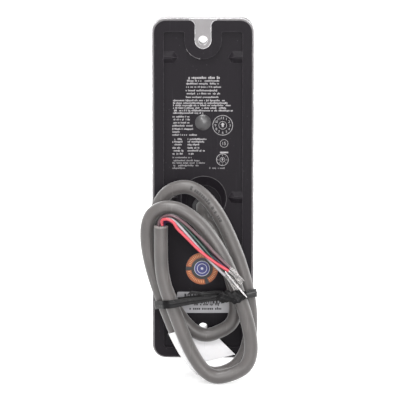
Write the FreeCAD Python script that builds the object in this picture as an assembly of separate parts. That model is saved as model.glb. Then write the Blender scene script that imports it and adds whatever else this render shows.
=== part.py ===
import FreeCAD, Part
import math
import os

# Keypad card reader for a door frame, with its cable tied in a coil behind it.
# Millimetres. X runs across the reader and Z runs up. The wall is the plane Y = 0,
# and the keys face -Y. The origin is the middle of the back face.

# Heights named DROP are measured down from the cover's top edge, and those named
# RISE up from its bottom edge.

# Casing
COVER_WIDTH = 43.0
COVER_HEIGHT = 145.0
BODY_DEPTH = 14.0
COVER_CORNER = 5.9
COVER_WALL = 2.0
FACE_WALL = 1.8
FACE_ROUND = 1.5

# Back plate
PLATE_INSET = 0.9
PLATE_CORNER = 5.0
LIP_THICKNESS = 1.6
SEAL_THICKNESS = 0.3
SEAL_INSET = 0.5
PANEL_RECESS = 1.3
PANEL_WALL = 1.6
PLUG_GAP = 0.15
RIM_SIDE = 4.0
RIM_TOP = 4.7
RIM_BOTTOM = 4.0
RECESS_CORNER = 1.0

# Screw holes and the slot for the upper screw pillar
SCREW_HOLE = 3.6
PLATE_SCREW_HOLE = 4.0
SCREW_SINK = 6.8
SCREW_SINK_DEPTH = 1.6
TOP_SCREW_DROP = 9.2
BOTTOM_SCREW_RISE = 13.2
SLOT_WIDTH = 7.2
SLOT_MOUTH_ROUND = 2.1
PILLAR_GAP = 0.1
PILLAR_SINK = 0.4
COLLAR_WALL = 4.2
LOWER_PILLAR_DIAMETER = 7.6
LOWER_PILLAR_GAP = 0.1

# Moulded bumps beside the rim
BUMP_DROPS = [16.4, 75.8]
BUMP_LENGTH = 6.2
BUMP_WIDTH = 5.3
BUMP_CHAMFER = 1.6
BUMP_RIDGE = 0.8
BUMP_SINK = 0.1

# Cable well and gland
WELL_DIAMETER = 14.8
WELL_X = -0.3
WELL_DROP = 78.2
WELL_DEPTH = 3.1
WELL_WALL = 1.2
DISH_SLOPE = 2.15
DISH_SHIFT = 1.9
DISH_DEPTH = 1.5
GLAND_DROP = 80.1
GLAND_WALL = 0.8
GLAND_COLLAR_OUT = 0.75
GLAND_COLLAR_HEIGHT = 1.8
GLAND_NECK_GAP = 0.05
GLAND_FLANGE_OUT = 0.85
GLAND_FLANGE_THICKNESS = 0.6
GLAND_BORE_GAP = 0.05

# Keys
KEY_SIZE = 9.2
KEY_CORNER = 2.0
KEY_PITCH = 11.6
KEY_GAP = 0.15
KEY_PROUD = 0.6
KEY_FLANGE_OUT = 0.45
KEY_FLANGE_THICKNESS = 0.8
KEY_REST_GAP = 0.15
KEY_TRAVEL = 0.4
KEY_ROUND = 0.5
TOP_ROW_DROP = 30.5
KEY_ROWS = [
    ["key_1", "key_2", "key_3"],
    ["key_4", "key_5", "key_6"],
    ["key_7", "key_8", "key_9"],
    ["key_star", "key_0", "key_hash"],
]

# Key mat and the discs that sense a press
MAT_SHEET = 0.5
MAT_PAD_HEIGHT = 0.3
MAT_PAD_DIAMETER = 6.4
MAT_PRESS_GAP = 0.15
MAT_MARGIN = 1.0
SENSOR_DIAMETER = 7.2
SENSOR_THICKNESS = 0.45
SENSOR_GAP = 0.05

# Front board with its screws
BOARD_THICKNESS = 1.2
BOARD_SIDE_GAP = 0.8
BOARD_DROP = 15.0
BOARD_RISE = 6.2
BOARD_PILLAR_GAP = 0.4
BOARD_CORNER = 1.5
POST_DIAMETER = 4.0
POST_X = 15.0
TOP_POST_DROP = 21.9
POST_WINDOW_GAP = 1.0
SMALL_SCREW_SHANK = 1.5
SMALL_SCREW_BORE = 1.6
SMALL_SCREW_LENGTH = 3.4
SMALL_SCREW_HEAD = 3.2
SMALL_SCREW_HEAD_HEIGHT = 0.6
BOARD_HOLE = 1.8

# Main board and what it carries, each at its place across and down from the board's top edge
SPACER_HEIGHT = 3.2
SPACER_DIAMETER = 3.6
SPACER_X = 13.5
SPACER_TOP_INSET = 8.2
SPACER_FOOT_INSET = 3.5
MAIN_BOARD_DROP = 19.5
MAIN_BOARD_HEIGHT = 43.0
MAIN_BOARD_HALF_WIDTH = 16.5
HEADER_SIZE = [12.0, 2.5]
HEADER_PLACE = [0.0, 7.0]
CONTROLLER_SIZE = 7.0
CONTROLLER_HEIGHT = 1.0
CONTROLLER_PLACE = [-7.5, 19.0]
RADIO_CHIP_SIZE = 5.0
RADIO_CHIP_HEIGHT = 0.9
RADIO_CHIP_PLACE = [6.0, 16.0]
BUZZER_DIAMETER = 9.0
BUZZER_HEIGHT = 2.8
BUZZER_HOLE = 1.6
BUZZER_HOLE_DEPTH = 1.4
BUZZER_X = 4.0
BUZZER_UP = 14.0
SMALL_PART_SIZE = [1.6, 0.8]
SMALL_PART_HEIGHT = 0.8
SMALL_PART_PITCH = 2.6
SMALL_PART_COLUMNS = 7
SMALL_PART_ROWS_UP = [7.0, 4.2]

# Status lights, card window and aerial
LIGHT_DROP = 18.9
LIGHT_SLOT = [14.0, 3.4]
LIGHT_GAP = 0.1
LIGHT_FLANGE_OUT = 0.8
LIGHT_FLANGE_THICKNESS = 0.8
LIGHT_CHIP = [1.6, 0.9, 0.8]
LIGHT_PITCH = 4.2
LIGHT_COUNT = 3
WINDOW_SIZE = [30.0, 30.0]
WINDOW_BELOW_GLAND = 1.4
WINDOW_CORNER = 3.0
WINDOW_GAP = 0.1
WINDOW_FLANGE_OUT = 1.2
WINDOW_FLANGE_THICKNESS = 0.8
WINDOW_SINK = 0.3
AERIAL_MARGIN = 1.0
AERIAL_TRACK = 2.2
AERIAL_HEIGHT = 1.4
FERRITE_THICKNESS = 0.4
FERRITE_INSET = 2.0

# Tamper lens and the sensor behind it
LENS_DROP = 43.9
LENS_DIAMETER = 6.6
LENS_GAP = 0.05
LENS_DOME_SINK = 0.25
LENS_FLANGE_OUT = 0.7
LENS_FLANGE_THICKNESS = 0.4
TAMPER_SENSOR_SIZE = 2.6
TAMPER_SENSOR_HEIGHT = 0.45

# Label and round seal on the panel
STICKER_THICKNESS = 0.12
LABEL_SIZE = [22.8, 9.1]
LABEL_X = -0.4
LABEL_RISE = 24.1
LABEL_CORNER = 0.8
SEAL_DIAMETER = 13.8
SEAL_X = 0.4
SEAL_RISE = 38.7

# Cable coil. Each turn is an oval whose long axis leans from upright.
# Sides are measured across that axis from the coil's middle, ends along it.
CABLE_DIAMETER = 5.8
COIL_X = 1.3
COIL_BELOW_GLAND = 32.6
COIL_LEAN = 20.0
FIRST_LAYER_Y = 6.1
EXIT_LAYER_RISE = 1.3
LAYER_GAP = 0.5
RIGHT_SIDES = [14.3, 19.6, 14.9]
RIGHT_WAISTS = [-22.7, -6.5, 1.0]
LOWER_ENDS = [21.2, 37.2, 37.8]
LOWER_SHIFTS = [-1.8, -1.5, 0.6]
LEFT_SIDES = [-13.9, -16.3, -13.0]
LEFT_WAISTS = [-7.4, -2.0, 1.1]
UPPER_ENDS = [-43.4, -38.3]
UPPER_SHIFTS = [4.6, -3.4]
CLIMB_SLOPE = 0.1
JACKET_END_X = 17.5
JACKET_END_Z = -12.5

# Six core wires, from the cut jacket to their tinned ends. Each has its angle round the cable's
# middle, and its points past the jacket's end, measured from the middle of that end.
WIRE_DIAMETER = 1.3
CORE_RING = 1.5
CORE_ANGLES = {
    "wire_red": 150,
    "wire_white": 90,
    "wire_brown": 30,
    "wire_black": -30,
    "wire_green": -90,
    "wire_purple": -150,
}
CORE_ROOTS = {
    "wire_red": 0.95,
    "wire_white": 1.35,
    "wire_brown": 1.35,
    "wire_black": 1.35,
    "wire_green": 1.35,
    "wire_purple": 0.95,
}
WIRE_ROUTES = {
    "wire_red": [
        [-1.78, 1.05, 1.75],
        [-2.63, 1.64, 2.15],
        [-3.64, 2.50, 2.05],
        [-6.58, 3.64, -0.03],
        [-10.72, 4.55, -4.12],
        [-15.47, 5.43, -9.03],
        [-21.78, 5.78, -14.05],
        [-28.07, 5.80, -17.88],
    ],
    "wire_white": [
        [-0.84, 1.85, 2.77],
        [-2.43, 2.30, 3.57],
        [-4.29, 2.61, 3.39],
        [-7.51, 3.16, 0.92],
        [-11.47, 3.55, -3.49],
        [-15.89, 3.93, -8.62],
        [-21.19, 4.58, -14.86],
        [-26.72, 4.93, -19.96],
    ],
    "wire_brown": [
        [-0.08, 1.01, 3.71],
        [-2.29, 1.40, 4.63],
        [-5.05, 2.20, 4.75],
        [-9.06, 3.20, 2.47],
        [-13.68, 3.96, -1.66],
        [-18.37, 4.71, -6.13],
        [-23.42, 5.27, -11.85],
        [-28.83, 5.52, -16.70],
    ],
    "wire_black": [
        [-0.10, -0.42, 3.67],
        [-2.29, 0.01, 4.70],
        [-5.09, 0.78, 4.95],
        [-9.20, 1.72, 2.64],
        [-13.43, 2.61, -1.87],
        [-17.75, 3.58, -6.75],
        [-23.12, 3.98, -12.26],
        [-28.82, 4.12, -16.72],
    ],
    "wire_green": [
        [-0.86, -1.24, 2.76],
        [-2.48, -0.86, 3.36],
        [-4.52, 0.57, 3.63],
        [-8.31, 2.27, 1.68],
        [-12.56, 3.38, -2.59],
        [-17.01, 4.48, -7.49],
        [-22.03, 4.40, -13.74],
        [-27.33, 3.97, -19.04],
    ],
    "wire_purple": [
        [-1.78, -0.50, 1.75],
        [-2.63, 0.02, 2.17],
        [-3.82, 0.85, 2.30],
        [-7.16, 1.85, 0.56],
        [-11.76, 2.12, -3.26],
        [-16.75, 2.39, -7.75],
        [-22.40, 3.06, -13.20],
        [-28.13, 3.59, -17.78],
    ],
}
TIP_DIAMETER = 0.9
TIP_LENGTH = 5.5
DRAIN_DIAMETER = 0.9
DRAIN_ROUTE = [[-9.2, 25.1, -30.6], [-12.4, 25.6, -34.4], [-15.6, 26.0, -38.2], [-18.2, 26.1, -41.4]]

# Twist tie round the coil's waist
TIE_WIDTH = 3.4
TIE_THICKNESS = 0.6
TIE_GAP = 0.3
TIE_X = -1.0
TIE_Z = -43.0
TIE_LEAN = 7.0
TIE_TILT = 8.0
KNOT_SIZE = [13.0, 5.4, 2.2]
KNOT_SHIFT = 11.0
TAIL_LENGTH = 13.7
TAIL_WIDTH = 2.6
TAIL_SHIFT = 1.7
TAIL_LEAN = 8.0

# Paper flag round the cable
TAG_START = 13.9
TAG_END = 32.2
TAG_WRAP = 0.25
TAG_GAP = 0.1
TAG_THICKNESS = 0.3
TAG_FLAG_Y = 2.3
TAG_UPPER_CORNER = [-2.8, 18.9]
TAG_LOWER_CORNER = [3.9, 33.4]


# Places that follow from the sizes above
FRONT_Y = -BODY_DEPTH
INNER_FACE_Y = FRONT_Y + FACE_WALL
SKIRT_END_Y = -(LIP_THICKNESS + SEAL_THICKNESS)
PANEL_Y = -PANEL_RECESS
PANEL_INNER_Y = -(PANEL_RECESS + PANEL_WALL)
COVER_TOP_Z = COVER_HEIGHT / 2
COVER_BOTTOM_Z = -COVER_HEIGHT / 2
PLATE_WIDTH = COVER_WIDTH - 2 * PLATE_INSET
PLATE_HEIGHT = COVER_HEIGHT - 2 * PLATE_INSET
PLATE_TOP_Z = PLATE_HEIGHT / 2
CAVITY_WIDTH = COVER_WIDTH - 2 * COVER_WALL
CAVITY_HEIGHT = COVER_HEIGHT - 2 * COVER_WALL
CAVITY_CORNER = COVER_CORNER - COVER_WALL
TOP_SCREW_Z = COVER_TOP_Z - TOP_SCREW_DROP
BOTTOM_SCREW_Z = COVER_BOTTOM_Z + BOTTOM_SCREW_RISE
WELL_Z = COVER_TOP_Z - WELL_DROP
DISH_Z = WELL_Z + DISH_SHIFT
DISH_DIAMETER = WELL_DIAMETER + 2 * DISH_SLOPE
GLAND_Z = COVER_TOP_Z - GLAND_DROP
GLAND_BORE = CABLE_DIAMETER + 2 * GLAND_BORE_GAP
GLAND_NECK = GLAND_BORE + 2 * GLAND_WALL
LIGHT_Z = COVER_TOP_Z - LIGHT_DROP
TOP_ROW_Z = COVER_TOP_Z - TOP_ROW_DROP
LENS_Z = COVER_TOP_Z - LENS_DROP
WINDOW_TOP_Z = GLAND_Z - WINDOW_BELOW_GLAND
WINDOW_Z = WINDOW_TOP_Z - WINDOW_SIZE[1] / 2
MIDDLE_POST_Z = WINDOW_TOP_Z + WINDOW_FLANGE_OUT + POST_WINDOW_GAP + POST_DIAMETER / 2
POST_HEIGHTS = [COVER_TOP_Z - TOP_POST_DROP, MIDDLE_POST_Z, BOTTOM_SCREW_Z]
BOARD_TOP_Z = COVER_TOP_Z - BOARD_DROP
BOARD_BOTTOM_Z = COVER_BOTTOM_Z + BOARD_RISE
MAIN_BOARD_TOP_Z = COVER_TOP_Z - MAIN_BOARD_DROP
LABEL_Z = COVER_BOTTOM_Z + LABEL_RISE
SEAL_Z = COVER_BOTTOM_Z + SEAL_RISE
COIL_Z = GLAND_Z - COIL_BELOW_GLAND
RIM_INNER_X = PLATE_WIDTH / 2 - RIM_SIDE
WELL_FLOOR_Y = PANEL_Y - WELL_DEPTH
WELL_BOTTOM_Y = WELL_FLOOR_Y - WELL_WALL
GLAND_INNER_Y = WELL_BOTTOM_Y - GLAND_FLANGE_THICKNESS
KEY_FLANGE_Y = INNER_FACE_Y + KEY_REST_GAP
KEY_BACK_Y = KEY_FLANGE_Y + KEY_FLANGE_THICKNESS
MAT_TOP_Y = KEY_BACK_Y + KEY_TRAVEL + MAT_PRESS_GAP
MAT_BACK_Y = MAT_TOP_Y + MAT_PAD_HEIGHT + MAT_SHEET
SENSOR_FRONT_Y = MAT_BACK_Y + SENSOR_GAP
BOARD_FRONT_Y = SENSOR_FRONT_Y + SENSOR_THICKNESS
BOARD_BACK_Y = BOARD_FRONT_Y + BOARD_THICKNESS
MAIN_FRONT_Y = BOARD_BACK_Y + SPACER_HEIGHT
MAIN_BACK_Y = MAIN_FRONT_Y + BOARD_THICKNESS
CABLE_RADIUS = CABLE_DIAMETER / 2
LAYER_PITCH = CABLE_DIAMETER + LAYER_GAP
LAST_LAYER_Y = FIRST_LAYER_Y + 2 * LAYER_PITCH
PAST = 1.0


def vec(x, y, z):
    return FreeCAD.Vector(x, y, z)


def disc(diameter, front_y, back_y, x=0.0, z=0.0):
    """A round prism along Y."""
    return Part.makeCylinder(diameter / 2, back_y - front_y, vec(x, front_y, z), vec(0, 1, 0))


def outline_prism(edges, front_y, back_y):
    """A prism along Y over an outline drawn at the front plane."""
    face = Part.Face(Part.Wire(edges))
    return face.extrude(vec(0, back_y - front_y, 0))


def rounded_plate(width, height, corner, front_y, back_y, x=0.0, z=0.0):
    """A prism along Y over a rectangle with round corners."""
    half_w = width / 2
    half_h = height / 2
    edges = []
    corners = [(1, 1, 0), (-1, 1, 90), (-1, -1, 180), (1, -1, 270)]
    arcs = []
    for side_x, side_z, start in corners:
        centre = vec(x + side_x * (half_w - corner), front_y, z + side_z * (half_h - corner))
        points = []
        for angle in (start, start + 45, start + 90):
            turn = math.radians(angle)
            points.append(centre + vec(corner * math.cos(turn), 0, corner * math.sin(turn)))
        arcs.append(points)
    for number, points in enumerate(arcs):
        edges.append(Part.Arc(*points).toShape())
        following = arcs[(number + 1) % len(arcs)]
        edges.append(Part.makeLine(points[2], following[0]))
    return outline_prism(edges, front_y, back_y)


def key_places():
    """Name, X and Z of each key, seen from behind so that 1 is at the user's left."""
    places = []
    for row, names in enumerate(KEY_ROWS):
        for column, name in enumerate(names):
            places.append((name, (column - 1) * KEY_PITCH, TOP_ROW_Z - row * KEY_PITCH))
    return places


def slot_prism(gap, top_z, front_y, back_y):
    """The U slot of the upper screw, its mouth flared, narrowed by the gap on every side."""
    half = SLOT_WIDTH / 2 - gap
    mouth_x = SLOT_WIDTH / 2 + SLOT_MOUTH_ROUND
    mouth_z = PLATE_TOP_Z - SLOT_MOUTH_ROUND
    flare = SLOT_MOUTH_ROUND + gap
    slant = flare * math.sqrt(0.5)

    def at(x, z):
        return vec(x, front_y, z)

    edges = [
        Part.Arc(at(-half, TOP_SCREW_Z), at(0, TOP_SCREW_Z - half), at(half, TOP_SCREW_Z)).toShape(),
        Part.makeLine(at(half, TOP_SCREW_Z), at(half, mouth_z)),
        Part.Arc(
            at(half, mouth_z),
            at(mouth_x - slant, mouth_z + slant),
            at(mouth_x, mouth_z + flare),
        ).toShape(),
        Part.makeLine(at(mouth_x, mouth_z + flare), at(mouth_x, top_z)),
        Part.makeLine(at(mouth_x, top_z), at(-mouth_x, top_z)),
        Part.makeLine(at(-mouth_x, top_z), at(-mouth_x, mouth_z + flare)),
        Part.Arc(
            at(-mouth_x, mouth_z + flare),
            at(slant - mouth_x, mouth_z + slant),
            at(-half, mouth_z),
        ).toShape(),
        Part.makeLine(at(-half, mouth_z), at(-half, TOP_SCREW_Z)),
    ]
    return outline_prism(edges, front_y, back_y)


def screw_bore(z):
    """The hole for one wall screw, with its sink in the front face."""
    bore = disc(SCREW_HOLE, FRONT_Y - PAST, PAST, 0, z)
    sink = Part.makeCone(SCREW_SINK / 2, SCREW_HOLE / 2, SCREW_SINK_DEPTH, vec(0, FRONT_Y, z), vec(0, 1, 0))
    return bore.fuse(sink)


def post_places():
    return [(side * POST_X, z) for side in (-1, 1) for z in POST_HEIGHTS]


def front_cover():
    shell = rounded_plate(COVER_WIDTH, COVER_HEIGHT, COVER_CORNER, FRONT_Y, SKIRT_END_Y)
    face_edges = [e for e in shell.Edges if all(abs(v.Point.y - FRONT_Y) < 1e-6 for v in e.Vertexes)]
    shell = shell.makeFillet(FACE_ROUND, face_edges)
    cavity = rounded_plate(CAVITY_WIDTH, CAVITY_HEIGHT, CAVITY_CORNER, INNER_FACE_Y, SKIRT_END_Y + PAST)
    lower_end = PANEL_INNER_Y - LOWER_PILLAR_GAP
    added = [
        slot_prism(PILLAR_GAP, COVER_TOP_Z, INNER_FACE_Y - FACE_WALL / 2, -PILLAR_SINK),
        disc(LOWER_PILLAR_DIAMETER, INNER_FACE_Y - FACE_WALL / 2, lower_end, 0, BOTTOM_SCREW_Z),
    ]
    for x, z in post_places():
        added.append(disc(POST_DIAMETER, INNER_FACE_Y - FACE_WALL / 2, BOARD_FRONT_Y, x, z))
    removed = [screw_bore(TOP_SCREW_Z), screw_bore(BOTTOM_SCREW_Z)]
    for x, z in post_places():
        removed.append(disc(SMALL_SCREW_BORE, INNER_FACE_Y, BOARD_FRONT_Y + PAST, x, z))
    opening = KEY_SIZE + 2 * KEY_GAP
    for name, x, z in key_places():
        removed.append(rounded_plate(opening, opening, KEY_CORNER, FRONT_Y - PAST, INNER_FACE_Y + PAST / 2, x, z))
    slot_w, slot_h = LIGHT_SLOT
    removed.append(rounded_plate(slot_w, slot_h, slot_h / 2.02, FRONT_Y - PAST, INNER_FACE_Y + PAST, 0, LIGHT_Z))
    window_w, window_h = WINDOW_SIZE
    removed.append(
        rounded_plate(window_w, window_h, WINDOW_CORNER, FRONT_Y - PAST, INNER_FACE_Y + PAST, 0, WINDOW_Z)
    )
    return shell.cut(cavity).fuse(added).cut(removed).removeSplitter()


def rim_bumps():
    """Four half-hexagon bumps that lean on the inner side of the rim."""
    bumps = []
    for side in (-1, 1):
        for drop in BUMP_DROPS:
            z = COVER_TOP_Z - drop
            root_x = side * (RIM_INNER_X + BUMP_SINK)
            tip_x = side * (RIM_INNER_X - BUMP_LENGTH)
            knee_x = tip_x + side * BUMP_CHAMFER
            rings = []
            for half, y, pull in ((BUMP_WIDTH / 2, PANEL_Y - BUMP_SINK, 0), (BUMP_RIDGE / 2, -BUMP_SINK, BUMP_CHAMFER)):
                end_x = tip_x + side * pull
                bend_x = knee_x + side * pull
                corners = [
                    vec(root_x, y, z - half),
                    vec(bend_x, y, z - half),
                    vec(end_x, y, z),
                    vec(bend_x, y, z + half),
                    vec(root_x, y, z + half),
                ]
                rings.append(Part.makePolygon(corners + corners[:1]))
            bumps.append(Part.makeLoft(rings, True, True))
    return bumps


def back_plate():
    lip = rounded_plate(PLATE_WIDTH, PLATE_HEIGHT, PLATE_CORNER, -LIP_THICKNESS, 0)
    plug = rounded_plate(
        CAVITY_WIDTH - 2 * PLUG_GAP,
        CAVITY_HEIGHT - 2 * PLUG_GAP,
        CAVITY_CORNER - PLUG_GAP,
        PANEL_INNER_Y,
        -LIP_THICKNESS,
    )
    recess_height = PLATE_HEIGHT - RIM_TOP - RIM_BOTTOM
    recess_z = (RIM_BOTTOM - RIM_TOP) / 2
    recess = rounded_plate(2 * RIM_INNER_X, recess_height, RECESS_CORNER, PANEL_Y, PAST, 0, recess_z)
    collar_outer = SLOT_WIDTH + 2 * COLLAR_WALL
    collar_top = PLATE_TOP_Z - RIM_TOP / 2
    collar = disc(collar_outer, PANEL_Y - BUMP_SINK, 0, 0, TOP_SCREW_Z)
    collar_neck = rounded_plate(
        collar_outer,
        collar_top - TOP_SCREW_Z,
        BUMP_SINK,
        PANEL_Y - BUMP_SINK,
        0,
        0,
        (collar_top + TOP_SCREW_Z) / 2,
    )
    well_cup = disc(WELL_DIAMETER + 2 * WELL_WALL, WELL_BOTTOM_Y, PANEL_Y - BUMP_SINK, WELL_X, WELL_Z)
    plate = lip.fuse(plug).cut(recess).fuse([collar, collar_neck, well_cup] + rim_bumps())

    dish_rim = Part.Wire(Part.makeCircle(DISH_DIAMETER / 2, vec(WELL_X, PANEL_Y, DISH_Z), vec(0, 1, 0)))
    dish_foot = Part.Wire(
        Part.makeCircle(WELL_DIAMETER / 2, vec(WELL_X, PANEL_Y - DISH_DEPTH, WELL_Z), vec(0, 1, 0))
    )
    removed = [
        Part.makeLoft([dish_foot, dish_rim], True, True),
        disc(WELL_DIAMETER, WELL_FLOOR_Y, PANEL_Y, WELL_X, WELL_Z),
        disc(GLAND_NECK + 2 * GLAND_NECK_GAP, WELL_BOTTOM_Y - PAST, WELL_FLOOR_Y + PAST, 0, GLAND_Z),
        disc(PLATE_SCREW_HOLE, PANEL_INNER_Y - PAST, PAST, 0, BOTTOM_SCREW_Z),
        disc(LENS_DIAMETER + 2 * LENS_GAP, PANEL_INNER_Y - PAST, PAST, 0, LENS_Z),
        slot_prism(0, COVER_TOP_Z + PAST, PANEL_INNER_Y - PAST, PAST),
    ]
    return plate.cut(removed).removeSplitter()


def seal_gasket():
    """A flat ring between the skirt of the cover and the lip of the plate, open at the slot."""
    outer = rounded_plate(
        PLATE_WIDTH - 2 * SEAL_INSET,
        PLATE_HEIGHT - 2 * SEAL_INSET,
        PLATE_CORNER - SEAL_INSET,
        SKIRT_END_Y,
        -LIP_THICKNESS,
    )
    inner = rounded_plate(CAVITY_WIDTH, CAVITY_HEIGHT, CAVITY_CORNER, SKIRT_END_Y - PAST, PAST)
    return outer.cut([inner, slot_prism(0, COVER_TOP_Z + PAST, SKIRT_END_Y - PAST, PAST)])


def key(x, z):
    """A cap that passes through the cover, on a flange that holds it in."""
    front = FRONT_Y - KEY_PROUD
    cap = rounded_plate(KEY_SIZE, KEY_SIZE, KEY_CORNER, front, KEY_FLANGE_Y, x, z)
    face_edges = [e for e in cap.Edges if all(abs(v.Point.y - front) < 1e-6 for v in e.Vertexes)]
    cap = cap.makeFillet(KEY_ROUND, face_edges)
    flange_size = KEY_SIZE + 2 * KEY_FLANGE_OUT
    flange = rounded_plate(flange_size, flange_size, KEY_CORNER, KEY_FLANGE_Y, KEY_BACK_Y, x, z)
    return cap.fuse(flange).removeSplitter()


def key_mat():
    """A rubber sheet with a pad behind each key."""
    rows = len(KEY_ROWS)
    height = (rows - 1) * KEY_PITCH + KEY_SIZE + 2 * MAT_MARGIN
    width = 2 * KEY_PITCH + KEY_SIZE + 2 * MAT_MARGIN
    middle_z = TOP_ROW_Z - (rows - 1) * KEY_PITCH / 2
    sheet = rounded_plate(width, height, KEY_CORNER, MAT_BACK_Y - MAT_SHEET, MAT_BACK_Y, 0, middle_z)
    pads = [disc(MAT_PAD_DIAMETER, MAT_TOP_Y, MAT_BACK_Y, x, z) for name, x, z in key_places()]
    return sheet.fuse(pads).removeSplitter()


def key_sensors():
    discs = [disc(SENSOR_DIAMETER, SENSOR_FRONT_Y, BOARD_FRONT_Y, x, z) for name, x, z in key_places()]
    return Part.makeCompound(discs)


def front_board():
    height = BOARD_TOP_Z - BOARD_BOTTOM_Z
    middle_z = (BOARD_TOP_Z + BOARD_BOTTOM_Z) / 2
    width = CAVITY_WIDTH - 2 * BOARD_SIDE_GAP
    board = rounded_plate(width, height, BOARD_CORNER, BOARD_FRONT_Y, BOARD_BACK_Y, 0, middle_z)
    holes = [disc(BOARD_HOLE, BOARD_FRONT_Y - PAST, BOARD_BACK_Y + PAST, x, z) for x, z in post_places()]
    pillar_hole = LOWER_PILLAR_DIAMETER + 2 * BOARD_PILLAR_GAP
    holes.append(disc(pillar_hole, BOARD_FRONT_Y - PAST, BOARD_BACK_Y + PAST, 0, BOTTOM_SCREW_Z))
    return board.cut(holes)


def small_screw(x, z, seat_y):
    """A pan head screw that enters towards -Y, its head seated at seat_y."""
    shank = disc(SMALL_SCREW_SHANK, seat_y - SMALL_SCREW_LENGTH, seat_y, x, z)
    head = disc(SMALL_SCREW_HEAD, seat_y, seat_y + SMALL_SCREW_HEAD_HEIGHT, x, z)
    cross = []
    for long_x, long_z in ((2.0, 0.4), (0.4, 2.0)):
        notch = rounded_plate(
            long_x,
            long_z,
            0.1,
            seat_y + SMALL_SCREW_HEAD_HEIGHT / 2,
            seat_y + SMALL_SCREW_HEAD_HEIGHT + PAST,
            x,
            z,
        )
        cross.append(notch)
    return head.cut(cross).fuse(shank).removeSplitter()


def board_screws():
    return Part.makeCompound([small_screw(x, z, BOARD_BACK_Y) for x, z in post_places()])


def spacer_places():
    heights = [MAIN_BOARD_TOP_Z - SPACER_TOP_INSET, MAIN_BOARD_TOP_Z - MAIN_BOARD_HEIGHT + SPACER_FOOT_INSET]
    return [(side * SPACER_X, z) for side in (-1, 1) for z in heights]


def board_spacers():
    spacers = []
    for x, z in spacer_places():
        tube = disc(SPACER_DIAMETER, BOARD_BACK_Y, MAIN_FRONT_Y, x, z)
        spacers.append(tube.cut(disc(SMALL_SCREW_BORE, BOARD_BACK_Y - PAST, MAIN_FRONT_Y + PAST, x, z)))
    return Part.makeCompound(spacers)


def spacer_screws():
    return Part.makeCompound([small_screw(x, z, MAIN_BACK_Y) for x, z in spacer_places()])


def main_board():
    middle_z = MAIN_BOARD_TOP_Z - MAIN_BOARD_HEIGHT / 2
    board = rounded_plate(
        2 * MAIN_BOARD_HALF_WIDTH, MAIN_BOARD_HEIGHT, BOARD_CORNER, MAIN_FRONT_Y, MAIN_BACK_Y, 0, middle_z
    )
    holes = [disc(BOARD_HOLE, MAIN_FRONT_Y - PAST, MAIN_BACK_Y + PAST, x, z) for x, z in spacer_places()]
    return board.cut(holes)


def on_main_board(place):
    """X and Z of a place given across and down from the main board's top edge."""
    return place[0], MAIN_BOARD_TOP_Z - place[1]


def up_main_board(across, up):
    """X and Z of a place given across and up from the main board's lower edge."""
    return across, MAIN_BOARD_TOP_Z - MAIN_BOARD_HEIGHT + up


def board_header():
    width, height = HEADER_SIZE
    return rounded_plate(width, height, 0.2, BOARD_BACK_Y, MAIN_FRONT_Y, *on_main_board(HEADER_PLACE))


def chip(size, thickness, place):
    """A square chip on the front side of the main board."""
    return rounded_plate(size, size, 0.3, MAIN_FRONT_Y - thickness, MAIN_FRONT_Y, *on_main_board(place))


def buzzer():
    front = MAIN_FRONT_Y - BUZZER_HEIGHT
    x, z = up_main_board(BUZZER_X, BUZZER_UP)
    body = disc(BUZZER_DIAMETER, front, MAIN_FRONT_Y, x, z)
    return body.cut(disc(BUZZER_HOLE, front - PAST, front + BUZZER_HOLE_DEPTH, x, z))


def small_parts():
    """Two rows of small resistors and capacitors on the main board."""
    width, height = SMALL_PART_SIZE
    parts = []
    for up in SMALL_PART_ROWS_UP:
        for column in range(SMALL_PART_COLUMNS):
            across = (column - (SMALL_PART_COLUMNS - 1) / 2) * SMALL_PART_PITCH
            x, z = up_main_board(across, up)
            parts.append(rounded_plate(width, height, 0.1, MAIN_FRONT_Y - SMALL_PART_HEIGHT, MAIN_FRONT_Y, x, z))
    return Part.makeCompound(parts)


def status_lens():
    slot_w, slot_h = LIGHT_SLOT
    lens_w = slot_w - 2 * LIGHT_GAP
    lens_h = slot_h - 2 * LIGHT_GAP
    body = rounded_plate(lens_w, lens_h, lens_h / 2.02, FRONT_Y, INNER_FACE_Y, 0, LIGHT_Z)
    flange_w = slot_w + 2 * LIGHT_FLANGE_OUT
    flange_h = slot_h + 2 * LIGHT_FLANGE_OUT
    flange_back = INNER_FACE_Y + LIGHT_FLANGE_THICKNESS
    flange = rounded_plate(flange_w, flange_h, lens_h / 2.02, INNER_FACE_Y, flange_back, 0, LIGHT_Z)
    return body.fuse(flange).removeSplitter()


def status_leds():
    width, height, thickness = LIGHT_CHIP
    lights = []
    for number in range(LIGHT_COUNT):
        x = (number - (LIGHT_COUNT - 1) / 2) * LIGHT_PITCH
        lights.append(rounded_plate(width, height, 0.1, BOARD_FRONT_Y - thickness, BOARD_FRONT_Y, x, LIGHT_Z))
    return Part.makeCompound(lights)


def reader_window():
    """The plastic pane that a card is held against."""
    width, height = WINDOW_SIZE
    pane = rounded_plate(
        width - 2 * WINDOW_GAP,
        height - 2 * WINDOW_GAP,
        WINDOW_CORNER - WINDOW_GAP,
        FRONT_Y + WINDOW_SINK,
        INNER_FACE_Y,
        0,
        WINDOW_Z,
    )
    flange = rounded_plate(
        width + 2 * WINDOW_FLANGE_OUT,
        height + 2 * WINDOW_FLANGE_OUT,
        WINDOW_CORNER,
        INNER_FACE_Y,
        INNER_FACE_Y + WINDOW_FLANGE_THICKNESS,
        0,
        WINDOW_Z,
    )
    return pane.fuse(flange).removeSplitter()


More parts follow.
